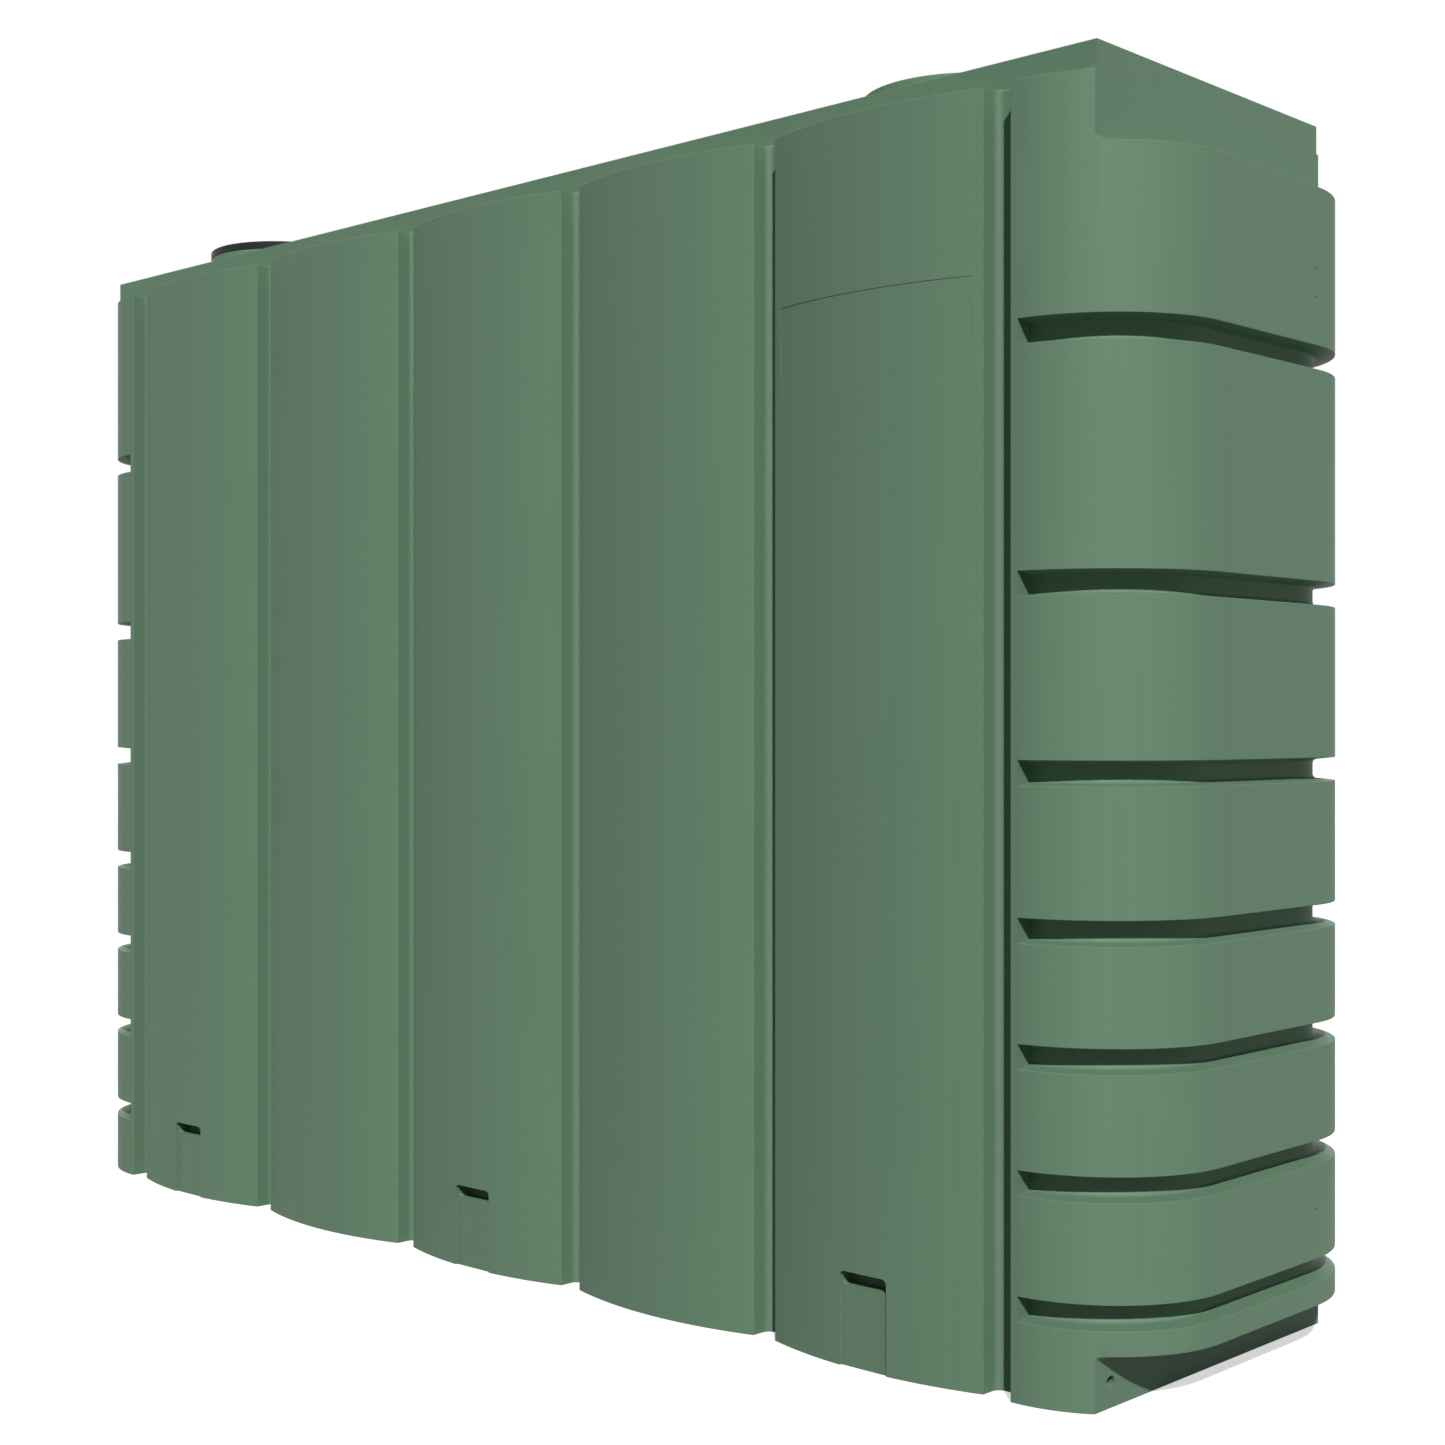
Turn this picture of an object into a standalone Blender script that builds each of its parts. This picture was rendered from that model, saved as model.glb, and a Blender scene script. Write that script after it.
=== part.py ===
"""Slimline rainwater tank of the 5,000 litre class, rotationally moulded in one piece.

Metres, +Z up. The origin is the centre of the base, X runs along the tank's length and -Y is
its front. The tank is drawn as an outer form and, by the same functions with the wall's
thickness as an inset, the hollow inside it. The necks' bores open that hollow.
"""

import math

import bmesh
import bpy
from mathutils import Matrix, Vector

# Body
BODY_LENGTH = 2.824
BODY_DEPTH = 0.702
BODY_HEIGHT = 2.150
BAND_HEIGHT = 0.050
BAND_FILLET = 0.008
BAND_FILLET_SINK = 0.0003
BAND_FILLET_MARGIN = 0.001
WALL = 0.007

# Upright panels on the front and the back
PANEL_COUNT = 5
PANEL_ROW_FROM_END = 0.162
PANEL_GAP = 0.0506
PANEL_STEP = 0.0436
PANEL_CROWN = 0.034
GROOVE_FLOOR_STEP = 0.0045
GROOVE_FOOT_RADIUS = 0.012

# End panels, which wrap round from the front to the back
CORNER_GAP = 0.0543
CORNER_STEP = 0.0455
CORNER_RADIUS = 0.236
END_REACH = 0.106
END_PANEL_DROP = 0.110
END_PANEL_LIP = 0.060
CUT_OUT_RADIUS = 0.010

# Level grooves round the end panels, closer together near the base, where the water presses most.
# The shoulder's height is divided into equal steps, and each groove lies on one of them.
RING_DIVISIONS = 42
RING_STATIONS = (3, 7, 11, 15, 20, 26, 34)
RING_OPENING = 0.040
RING_FLOOR = 0.034
RING_DEPTH = 0.038
RING_RADIUS = 0.008
RING_STOP = 0.013

# Tie-down pockets at the foot of every second panel
POCKET_WIDTH = 0.100
POCKET_HEIGHT = 0.160
POCKET_DEPTH = 0.007
POCKET_RADIUS = 0.006
SLOT_HEIGHT = 0.025
SLOT_DEPTH = 0.030
SLOT_MARGIN = 0.001

# Blind socket for a drain, low in each end
SOCKET_DIAMETER = 0.0245
SOCKET_DEPTH = 0.030
SOCKET_INSET = 0.0375
SOCKET_HEIGHT = 0.039

# Threaded inserts for wall ties, moulded into each end above the lowest and the highest groove
LOW_INSERT_RISE = 0.103
HIGH_INSERT_RISE = 0.100
HIGH_INSERT_PITCH = 0.050
INSERT_FROM_CORNER = 0.0105
INSERT_BORE = 0.0068
INSERT_DIAMETER = 0.013
INSERT_LENGTH = 0.020
INSERT_SKIN = 0.002
INSERT_GROOVE = 0.001

# Necks on the deck
NECK_RADIUS = 0.187
NECK_HEIGHT = 0.0735
NECK_FOOT_RADIUS = 0.010
INLET_FROM_END = 0.201
ACCESS_FROM_END = 0.525

# Ledge and lid inside the access neck
LEDGE_WIDTH = 0.024
LEDGE_THICKNESS = 0.008
LEDGE_DROP = 0.026
LID_CLEARANCE = 0.0015
LID_PLATE = 0.006
LID_RIM_HEIGHT = 0.014
LID_RIM_WIDTH = 0.005
LID_RIB_WIDTH = 0.008
LID_RIB_HEIGHT = 0.006
LID_HUB_RADIUS = 0.030
LID_HUB_STEP = 0.001
SEAL_WIDTH = 0.0065
SEAL_THICKNESS = 0.004
SEAL_FROM_EDGE = 0.0015
LID_SCREW_COUNT = 6
LID_SCREW_RADIUS = 0.0022
LID_SCREW_CLEARANCE = 0.0004
LID_SCREW_FROM_BORE = 0.0125
SCREW_HEAD_RADIUS = 0.0045
SCREW_HEAD_CROWN = 0.003
SCREW_HEAD_HEIGHT = 0.003

# Leaf strainer in the inlet neck
STRAINER_RIM_HEIGHT = 0.018
STRAINER_CLEARANCE = 0.0015
STRAINER_WALL = 0.003
STRAINER_CHAMFER = 0.002
BASKET_DEPTH = 0.100
BASKET_TAPER = 0.030
BASKET_LEDGE = 0.012
WINDOW_COUNT = 8
WINDOW_WIDTH = 0.092
WINDOW_HEIGHT = 0.052
WINDOW_FROM_FOOT = 0.012
SPOKE_WIDTH = 0.008
SPOKE_HEIGHT = 0.006
HUB_RADIUS = 0.020
HUB_STEP = 0.001
MESH_THICKNESS = 0.0012
MESH_GAP = 0.039
MESH_PITCH = 0.046
CLAMP_WIDTH = 0.005
CLAMP_HEIGHT = 0.010

SEAT_GAP = 0.0003
OVERSHOOT = 0.020

# How finely curves are cut into flats. The level grooves have other steps than the corners that
# they run round, so that their edges never fall on each other.
PANEL_STEPS = 6
BAND_FILLET_STEPS = 4
CORNER_STEPS = 7
CAVITY_CORNER_STEPS = 5
GROOVE_STEPS = 6
CAVITY_GROOVE_STEPS = 4
ROUND_STEPS = 3
CAVITY_ROUND_STEPS = 1
NECK_FOOT_STEPS = 2
TURNED_STEPS = 32
HUB_STEPS = 24
SMALL_TURNED_STEPS = 8

HALF_LENGTH = BODY_LENGTH / 2
HALF_DEPTH = BODY_DEPTH / 2
SHOULDER_HEIGHT = BODY_HEIGHT - BAND_HEIGHT
RING_HEIGHTS = [SHOULDER_HEIGHT * station / RING_DIVISIONS for station in RING_STATIONS]
PANEL_PITCH = (BODY_LENGTH - 2 * PANEL_ROW_FROM_END) / PANEL_COUNT
PANEL_WIDTH = PANEL_PITCH - PANEL_GAP
PANEL_CENTRES = [(i - (PANEL_COUNT - 1) / 2) * PANEL_PITCH for i in range(PANEL_COUNT)]
PANEL_RADIUS = ((PANEL_WIDTH / 2) ** 2 + PANEL_CROWN**2) / (2 * PANEL_CROWN)
PANEL_FRONT = HALF_DEPTH + PANEL_STEP + PANEL_CROWN
CORNER_START = PANEL_CENTRES[-1] + PANEL_WIDTH / 2 + CORNER_GAP
CORNER_X = HALF_LENGTH + END_REACH - CORNER_RADIUS
CORNER_Y = HALF_DEPTH + CORNER_STEP - CORNER_RADIUS
END_PANEL_TOP = SHOULDER_HEIGHT - END_PANEL_DROP
END_PANEL_FOOT = RING_HEIGHTS[0] - END_PANEL_LIP
INSERT_OFFSET = CORNER_Y - INSERT_FROM_CORNER
HIGH_INSERT = RING_HEIGHTS[-1] + HIGH_INSERT_RISE
INSERT_HEIGHTS = (RING_HEIGHTS[0] + LOW_INSERT_RISE, HIGH_INSERT, HIGH_INSERT + HIGH_INSERT_PITCH)
NECK_TOP = BODY_HEIGHT + NECK_HEIGHT
NECK_BORE = NECK_RADIUS - WALL
BASKET_FOOT_RADIUS = NECK_BORE - BASKET_TAPER
LEDGE_TOP = NECK_TOP - LEDGE_DROP
SEAL_TOP = LEDGE_TOP + SEAT_GAP + SEAL_THICKNESS
INLET_CENTRE = Vector((INLET_FROM_END - HALF_LENGTH, 0, 0))
ACCESS_CENTRE = Vector((HALF_LENGTH - ACCESS_FROM_END, 0, 0))
ENDS = (-1, 1)
SIDES = (-1, 1)


def start_scene():
    """Clear the scene and make one collection for the parts and one for the cutters."""
    for item in list(bpy.data.objects):
        bpy.data.objects.remove(item, do_unlink=True)
    parts = bpy.data.collections.new("SlimlineWaterTank")
    cutters = bpy.data.collections.new("Cutters")
    cutters.hide_render = True
    bpy.context.scene.collection.children.link(parts)
    bpy.context.scene.collection.children.link(cutters)
    return parts, cutters


PARTS, CUTTERS = start_scene()


def material(name, colour, roughness, metallic=0.0):
    made = bpy.data.materials.new(name)
    made.use_nodes = True
    shader = made.node_tree.nodes["Principled BSDF"]
    shader.inputs["Base Color"].default_value = (*colour, 1)
    shader.inputs["Roughness"].default_value = roughness
    shader.inputs["Metallic"].default_value = metallic
    return made


MOULDED_GREEN = material("moulded_green_polyethylene", (0.139, 0.223, 0.150), 0.55)
BLACK_PLASTIC = material("black_polypropylene", (0.010, 0.014, 0.013), 0.5)
BRASS = material("brass", (0.60, 0.42, 0.16), 0.35, 1.0)
STAINLESS = material("stainless_steel", (0.55, 0.56, 0.56), 0.3, 1.0)
RUBBER = material("black_rubber", (0.015, 0.015, 0.015), 0.8)


def add_object(name, mesh, is_cutter=False, finish=None):
    """Put a mesh in the scene, as a part or as a cutter."""
    made = bpy.data.objects.new(name, mesh)
    (CUTTERS if is_cutter else PARTS).objects.link(made)
    if is_cutter:
        made.hide_render = True
        made.display_type = "WIRE"
    if finish:
        mesh.materials.append(finish)
    return made


def clean(mesh):
    """Weld a curve's caps to its sides, make each cap one face and turn the faces outwards."""
    work = bmesh.new()
    work.from_mesh(mesh)
    bmesh.ops.remove_doubles(work, verts=work.verts, dist=0.00001)
    in_caps = [edge for edge in work.edges if all(len(face.verts) == 3 for face in edge.link_faces)]
    bmesh.ops.dissolve_edges(work, edges=in_caps)
    bmesh.ops.recalc_face_normals(work, faces=work.faces)
    work.to_mesh(mesh)
    work.free()
    return mesh


def mesh_of_curve(curve_object):
    """Make a curve object's solid a mesh, in world space, and remove the curve."""
    bpy.context.view_layer.update()
    evaluated = curve_object.evaluated_get(bpy.context.evaluated_depsgraph_get())
    mesh = bpy.data.meshes.new_from_object(evaluated)
    mesh.transform(curve_object.matrix_world)
    bpy.data.objects.remove(curve_object, do_unlink=True)
    return clean(mesh)


def curve_object(name, points, closed, flat):
    """A curve through plan points, as straight runs."""
    curve = bpy.data.curves.new(name, "CURVE")
    curve.dimensions = "2D" if flat else "3D"
    spline = curve.splines.new("POLY")
    spline.points.add(len(points) - 1)
    for point, (x, y) in zip(spline.points, points):
        point.co = (x, y, 0, 1)
    spline.use_cyclic_u = closed
    made = bpy.data.objects.new(name, curve)
    bpy.context.scene.collection.objects.link(made)
    return made


def flat_solid(name, points, low, high, turn=Matrix(), **kind):
    """A flat outline made solid from low to high along its own Z, then turned."""
    made = curve_object(name, points, True, True)
    made.data.fill_mode = "BOTH"
    made.data.extrude = (high - low) / 2
    made.matrix_world = turn @ Matrix.Translation((0, 0, (low + high) / 2))
    return add_object(name, mesh_of_curve(made), **kind)


def swept_solid(name, path, section, height, **kind):
    """A section of (outwards, upwards) points carried along a level path."""
    profile = curve_object(name + "_section", section, True, True)
    made = curve_object(name, path, False, False)
    made.data.twist_mode = "Z_UP"
    made.data.bevel_mode = "OBJECT"
    made.data.bevel_object = profile
    made.data.use_fill_caps = True
    made.location.z = height
    mesh = mesh_of_curve(made)
    bpy.data.objects.remove(profile, do_unlink=True)
    return add_object(name, mesh, **kind)


def turned_solid(name, profile, steps, **kind):
    """A profile of (radius, height) points, running down the outer side, turned about Z."""
    mesh = bpy.data.meshes.new(name)
    edges = [(i, i + 1) for i in range(len(profile) - 1)]
    if profile[0][0] > 0:
        edges.append((len(profile) - 1, 0))
    mesh.from_pydata([(radius, 0, height) for radius, height in profile], edges, [])
    made = add_object(name, mesh, **kind)
    screw = made.modifiers.new("Turn", "SCREW")
    screw.axis = "Z"
    screw.angle = math.tau
    screw.steps = steps
    screw.render_steps = steps
    screw.use_merge_vertices = True
    screw.merge_threshold = 0.00001
    screw.use_smooth_shade = True
    return made


def box(name, low, high, **kind):
    """A box between two corners."""
    work = bmesh.new()
    low, high = Vector(low), Vector(high)
    bmesh.ops.create_cube(work, size=1)
    bmesh.ops.scale(work, verts=work.verts, vec=high - low)
    bmesh.ops.translate(work, verts=work.verts, vec=(low + high) / 2)
    mesh = bpy.data.meshes.new(name)
    work.to_mesh(mesh)
    work.free()
    return add_object(name, mesh, **kind)


def joined(name, pieces, **kind):
    """Several separate solids as one object, with their modifiers applied."""
    work = bmesh.new()
    bpy.context.view_layer.update()
    graph = bpy.context.evaluated_depsgraph_get()
    for piece in pieces:
        mesh = bpy.data.meshes.new_from_object(piece.evaluated_get(graph))
        mesh.transform(piece.matrix_world)
        work.from_mesh(mesh)
        bpy.data.meshes.remove(mesh)
    for piece in pieces:
        bpy.data.objects.remove(piece, do_unlink=True)
    mesh = bpy.data.meshes.new(name)
    work.to_mesh(mesh)
    work.free()
    return add_object(name, mesh, **kind)


def combine(target, other, operation):
    modifier = target.modifiers.new(operation.title() + " " + other.name, "BOOLEAN")
    modifier.operation = operation
    modifier.solver = "EXACT"
    modifier.object = other
    return target


def cut(target, cutter):
    return combine(target, cutter, "DIFFERENCE")


def unite(target, other):
    return combine(target, other, "UNION")


def rounded(corners):
    """Points of a closed outline of (x, y, radius, steps) corners, each rounded by its radius."""
    points = []
    for index, (x, y, radius, steps) in enumerate(corners):
        here = Vector((x, y))
        if radius == 0:
            points.append((x, y))
            continue
        before = (Vector(corners[index - 1][:2]) - here).normalized()
        after = (Vector(corners[(index + 1) % len(corners)][:2]) - here).normalized()
        half = before.angle(after) / 2
        centre = here + (before + after).normalized() * radius / math.sin(half)
        first = here + before * radius / math.tan(half) - centre
        last = here + after * radius / math.tan(half) - centre
        start = math.atan2(first.y, first.x)
        sweep = (math.atan2(last.y, last.x) - start + math.pi) % math.tau - math.pi
        for step in range(steps + 1):
            angle = start + sweep * step / steps
            points.append((centre.x + radius * math.cos(angle), centre.y + radius * math.sin(angle)))
    return points


def corner_arc(start_x, inset, steps):
    """The end panel's front corner in plan, from start_x round to the flat of the end."""
    radius = CORNER_RADIUS - inset
    points = []
    reach = start_x - CORNER_X
    if reach < 0:
        points.append((start_x, -(CORNER_Y + radius)))
    first = -math.acos(max(reach, 0) / radius)
    for step in range(steps + 1):
        angle = first * (1 - step / steps)
        points.append((CORNER_X + radius * math.cos(angle), -CORNER_Y + radius * math.sin(angle)))
    return points


def front_outline(inset):
    """The front in plan, from one end panel to the other: panels with grooves between them."""
    floor = HALF_DEPTH + GROOVE_FLOOR_STEP - inset
    foot = (GROOVE_FOOT_RADIUS + inset, CAVITY_ROUND_STEPS if inset else ROUND_STEPS)
    half_width = PANEL_WIDTH / 2 - inset
    radius = PANEL_RADIUS - inset
    spread = math.asin(half_width / radius)
    corners = [(-CORNER_START - inset, -floor, *foot)]
    for centre in PANEL_CENTRES:
        corners.append((centre - half_width, -floor, *foot))
        for step in range(PANEL_STEPS + 1):
            angle = spread * (2 * step / PANEL_STEPS - 1)
            x = centre + radius * math.sin(angle)
            y = PANEL_RADIUS - PANEL_FRONT - radius * math.cos(angle)
            corners.append((x, y, 0, 0))
        corners.append((centre + half_width, -floor, *foot))
    corners.append((CORNER_START + inset, -floor, *foot))
    return corners


def plan_outline(inset):
    """The whole outline in plan, moved inwards by the inset."""
    steps = CAVITY_CORNER_STEPS if inset else CORNER_STEPS
    right = [(x, y, 0, 0) for x, y in corner_arc(CORNER_START + inset, inset, steps)]
    left = [(-x, y, 0, 0) for x, y, _, _ in reversed(right)]
    front = left + front_outline(inset) + right
    back = [(x, -y, radius, count) for x, y, radius, count in reversed(front)]
    return rounded(front + back)


def end_cut_outs(name, inset):
    """Blocks that leave the end panels only between their foot and their top."""
    inner = HALF_LENGTH - inset
    outer = HALF_LENGTH + END_REACH + OVERSHOOT
    radius = CUT_OUT_RADIUS + inset
    top = END_PANEL_TOP - inset
    foot = END_PANEL_FOOT + inset
    steps = CAVITY_ROUND_STEPS if inset else ROUND_STEPS
    above = [(inner, top, radius, steps), (outer, top, 0, 0)]
    above += [(outer, BODY_HEIGHT, 0, 0), (inner, BODY_HEIGHT, 0, 0)]
    below = [(inner, -OVERSHOOT, 0, 0), (outer, -OVERSHOOT, 0, 0)]
    below += [(outer, foot, 0, 0), (inner, foot, radius, steps)]
    upright = Matrix.Rotation(math.pi / 2, 4, "X")
    blocks = []
    for index, corners in enumerate((above, below)):
        for end in ENDS:
            points = [(end * x, z) for x, z in rounded(corners)]
            label = f"{name}_{index}{end}"
            blocks.append(flat_solid(label, points, -BODY_DEPTH, BODY_DEPTH, upright, is_cutter=True))
    return joined(name, blocks, is_cutter=True)


def end_grooves(name, inset):
    """The level grooves of both ends, each a drafted channel carried round the end panel."""
    start = CORNER_START + (-CORNER_GAP / 2 if inset else RING_STOP)
    steps = CAVITY_GROOVE_STEPS if inset else GROOVE_STEPS
    quarter = corner_arc(start, 0, steps)
    path = quarter + [(x, -y) for x, y in reversed(quarter)]
    mouth = RING_OPENING / 2 + inset
    floor = RING_FLOOR / 2 + inset
    depth = RING_DEPTH + inset
    draft = (mouth - floor) / depth * OVERSHOOT
    radius = 0 if inset else RING_RADIUS
    outside = [(OVERSHOOT, -mouth - draft, 0, 0), (OVERSHOOT, mouth + draft, 0, 0)]
    section = rounded(outside + [(-depth, floor, radius, 1), (-depth, -floor, radius, 1)])
    rings = []
    for index, height in enumerate(RING_HEIGHTS):
        for end in ENDS:
            around = [(end * x, end * y) for x, y in path]
            rings.append(swept_solid(f"{name}_{index}{end}", around, section, height, is_cutter=True))
    return joined(name, rings, is_cutter=True)


def tie_down_pockets(name, inset):
    """Shallow recesses at the foot of every second panel, each with a slot for a bracket's tab."""
    radius = POCKET_RADIUS + inset
    steps = CAVITY_ROUND_STEPS if inset else ROUND_STEPS
    face = PANEL_FRONT - POCKET_DEPTH - inset
    slot_foot = POCKET_HEIGHT - SLOT_HEIGHT - inset
    upright = Matrix.Rotation(math.pi / 2, 4, "X")
    blocks = []
    for foot, margin, depth in ((-OVERSHOOT, 0, 0), (slot_foot, SLOT_MARGIN, SLOT_DEPTH)):
        half = POCKET_WIDTH / 2 + inset - margin
        top = POCKET_HEIGHT + inset - margin
        corners = [(-half, foot, 0, 0), (half, foot, 0, 0)]
        corners += [(half, top, radius, steps), (-half, top, radius, steps)]
        points = rounded(corners)
        for centre in PANEL_CENTRES[::2]:
            for side in SIDES:
                facing = Matrix.Rotation(math.pi * (side > 0), 4, "Z")
                turn = Matrix.Translation((centre, 0, 0)) @ facing @ upright
                low, high = face - depth, PANEL_FRONT + OVERSHOOT
                label = f"{name}_{len(blocks)}"
                blocks.append(flat_solid(label, points, low, high, turn, is_cutter=True))
    half_count = len(blocks) // 2
    recesses = joined(name + "_recesses", blocks[:half_count], is_cutter=True)
    slots = joined(name + "_slots", blocks[half_count:], is_cutter=True)
    return recesses, slots


def lay_along_x(thing, end, y, z, x=HALF_LENGTH):
    """Turn a piece whose own +Z points out of the tank so that it points out of that end."""
    thing.matrix_world = Matrix.Translation((end * x, y, z)) @ Matrix.Rotation(end * math.pi / 2, 4, "Y")
    return thing


def drain_sockets(name, inset):
    """Blind round sockets in the recess under each end panel, near the front."""
    radius = SOCKET_DIAMETER / 2 + inset
    floor = -SOCKET_DEPTH - inset
    profile = [(0, OVERSHOOT), (radius, OVERSHOOT), (radius, floor), (0, floor)]
    holes = []
    for end in ENDS:
        hole = turned_solid(f"{name}_{end}", profile, 2 * SMALL_TURNED_STEPS, is_cutter=True)
        holes.append(lay_along_x(hole, end, SOCKET_INSET - HALF_DEPTH, SOCKET_HEIGHT))
    return joined(name, holes, is_cutter=True)


def insert_seats(name, profile):
    """One turned cutter at each threaded insert, measured from the face of the end panel."""
    seats = []
    for end in ENDS:
        for index, height in enumerate(INSERT_HEIGHTS):
            seat = turned_solid(f"{name}_{index}{end}", profile, SMALL_TURNED_STEPS, is_cutter=True)
            seats.append(lay_along_x(seat, end, INSERT_OFFSET, height, HALF_LENGTH + END_REACH))
    return joined(name, seats, is_cutter=True)


def tank_form(name, inset, **kind):
    """The tank without its necks, moved inwards by the inset on every side."""
    form = flat_solid(name, plan_outline(inset), inset, SHOULDER_HEIGHT - inset, **kind)
    half_length = HALF_LENGTH - inset
    half_depth = HALF_DEPTH - inset
    low = (-half_length, -half_depth, SHOULDER_HEIGHT - CORNER_STEP)
    high = (half_length, half_depth, BODY_HEIGHT - inset)
    unite(form, box(name + "_band", low, high, is_cutter=True))
    if inset == 0:
        unite(form, band_fillets())
    cut(form, end_cut_outs(name + "_cut_outs", inset))
    cut(form, end_grooves(name + "_grooves", inset))
    for pockets in tie_down_pockets(name + "_pockets", inset):
        cut(form, pockets)
    cut(form, drain_sockets(name + "_sockets", inset))
    return form


def band_fillets():
    """The hollow fillets where the band stands on the panels' tops, one strip for each panel.

    A strip stops just short of its panel's sides, and both edges of its arc are sunk a little
    into the flats that they run out on.
    """
    radius = BAND_FILLET
    sunk = radius / 2
    toe = HALF_DEPTH + radius
    section = [(HALF_DEPTH - sunk, SHOULDER_HEIGHT - sunk), (toe, SHOULDER_HEIGHT - sunk)]
    section.append((toe, SHOULDER_HEIGHT - BAND_FILLET_SINK))
    for step in range(1, BAND_FILLET_STEPS):
        angle = math.pi / 2 * step / BAND_FILLET_STEPS
        y = HALF_DEPTH + radius * (1 - math.sin(angle))
        section.append((y, SHOULDER_HEIGHT + radius * (1 - math.cos(angle))))
    top = SHOULDER_HEIGHT + radius
    section += [(HALF_DEPTH - BAND_FILLET_SINK, top), (HALF_DEPTH - sunk, top)]
    reach = PANEL_WIDTH / 2 - BAND_FILLET_MARGIN
    runs = [(centre - reach, centre + reach) for centre in PANEL_CENTRES]
    from_arc_centre = toe + BAND_FILLET_MARGIN - CORNER_Y
    corner_end = CORNER_X + math.sqrt(CORNER_RADIUS**2 - from_arc_centre**2)
    corner_first = CORNER_START + BAND_FILLET_MARGIN
    runs += [(corner_first, corner_end), (-corner_end, -corner_first)]
    along = Matrix(((0, 0, 1, 0), (1, 0, 0, 0), (0, 1, 0, 0), (0, 0, 0, 1)))
    strips = []
    for side in SIDES:
        points = [(side * y, z) for y, z in section]
        for run in runs:
            strips.append(flat_solid(f"band_fillet_{len(strips)}", points, *run, along, is_cutter=True))
    return joined("band_fillets", strips, is_cutter=True)


def neck_wall(name, centre):
    """A round collar on the deck, with a small fillet at its foot."""
    foot = NECK_FOOT_RADIUS
    profile = [(0, NECK_TOP), (NECK_RADIUS, NECK_TOP)]
    for step in range(NECK_FOOT_STEPS + 1):
        angle = math.pi / 2 * step / NECK_FOOT_STEPS
        height = BODY_HEIGHT + foot * (1 - math.sin(angle))
        profile.append((NECK_RADIUS + foot * (1 - math.cos(angle)), height))
    edge = NECK_RADIUS + foot
    profile += [(edge, BODY_HEIGHT - WALL / 2), (0, BODY_HEIGHT - WALL / 2)]
    collar = turned_solid(name, profile, TURNED_STEPS, is_cutter=True)
    collar.location = centre
    return collar


def neck_bore(name, centre, has_ledge):
    """The bore through a collar and the deck, narrowed where a lid's ledge stands in it."""
    top = NECK_TOP + OVERSHOOT
    bottom = BODY_HEIGHT - WALL - OVERSHOOT
    profile = [(0, top), (NECK_BORE, top)]
    if has_ledge:
        inner = NECK_BORE - LEDGE_WIDTH
        under = LEDGE_TOP - LEDGE_THICKNESS
        profile += [(NECK_BORE, LEDGE_TOP), (inner, LEDGE_TOP), (inner, under), (NECK_BORE, under)]
    profile += [(NECK_BORE, bottom), (0, bottom)]
    bore = turned_solid(name, profile, TURNED_STEPS, is_cutter=True)
    bore.location = centre
    return bore


def lid_screw_places():
    ring = NECK_BORE - LID_SCREW_FROM_BORE
    for index in range(LID_SCREW_COUNT):
        angle = math.tau * (index + 0.5) / LID_SCREW_COUNT
        yield ACCESS_CENTRE + Vector((ring * math.cos(angle), ring * math.sin(angle), 0))


def screw_holes(name, low, high):
    """A clear hole for each of the lid's screws."""
    radius = LID_SCREW_RADIUS + LID_SCREW_CLEARANCE
    holes = []
    for index, place in enumerate(lid_screw_places()):
        profile = [(0, high), (radius, high), (radius, low), (0, low)]
        hole = turned_solid(f"{name}_{index}", profile, SMALL_TURNED_STEPS, is_cutter=True)
        hole.location = place
        holes.append(hole)
    return joined(name, holes, is_cutter=True)


def make_tank_body():
    """The moulded tank: its outer form with two collars, less the hollow with two bores.

    The hollow is cut last, because the thin rings it leaves on the collars don't take more cuts.
    """
    body = tank_form("tank_body", 0, finish=MOULDED_GREEN)
    hollow = tank_form("hollow", WALL, is_cutter=True)
    reach = INSERT_SKIN + INSERT_LENGTH + 2 * SEAT_GAP + WALL
    boss = INSERT_DIAMETER / 2 + SEAT_GAP + WALL
    boss_profile = [(0, OVERSHOOT), (boss, OVERSHOOT), (boss, -reach), (0, -reach)]
    cut(hollow, insert_seats("insert_bosses", boss_profile))
    necks = (("inlet", INLET_CENTRE, False), ("access", ACCESS_CENTRE, True))
    for label, centre, has_ledge in necks:
        unite(body, neck_wall(label + "_collar", centre))
        unite(hollow, neck_bore(label + "_bore", centre, has_ledge))
    hole = INSERT_BORE / 2
    pocket = INSERT_DIAMETER / 2 + SEAT_GAP
    end = -INSERT_SKIN - INSERT_LENGTH - 2 * SEAT_GAP
    seat = [(0, OVERSHOOT), (hole, OVERSHOOT), (hole, -INSERT_SKIN)]
    seat += [(pocket, -INSERT_SKIN), (pocket, end), (0, end)]
    cut(body, insert_seats("insert_seats", seat))
    hole_low, hole_high = LEDGE_TOP - 2 * LEDGE_THICKNESS, LEDGE_TOP + LEDGE_THICKNESS
    unite(hollow, screw_holes("ledge_screw_holes", hole_low, hole_high))
    cut(body, hollow)
    return body


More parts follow.
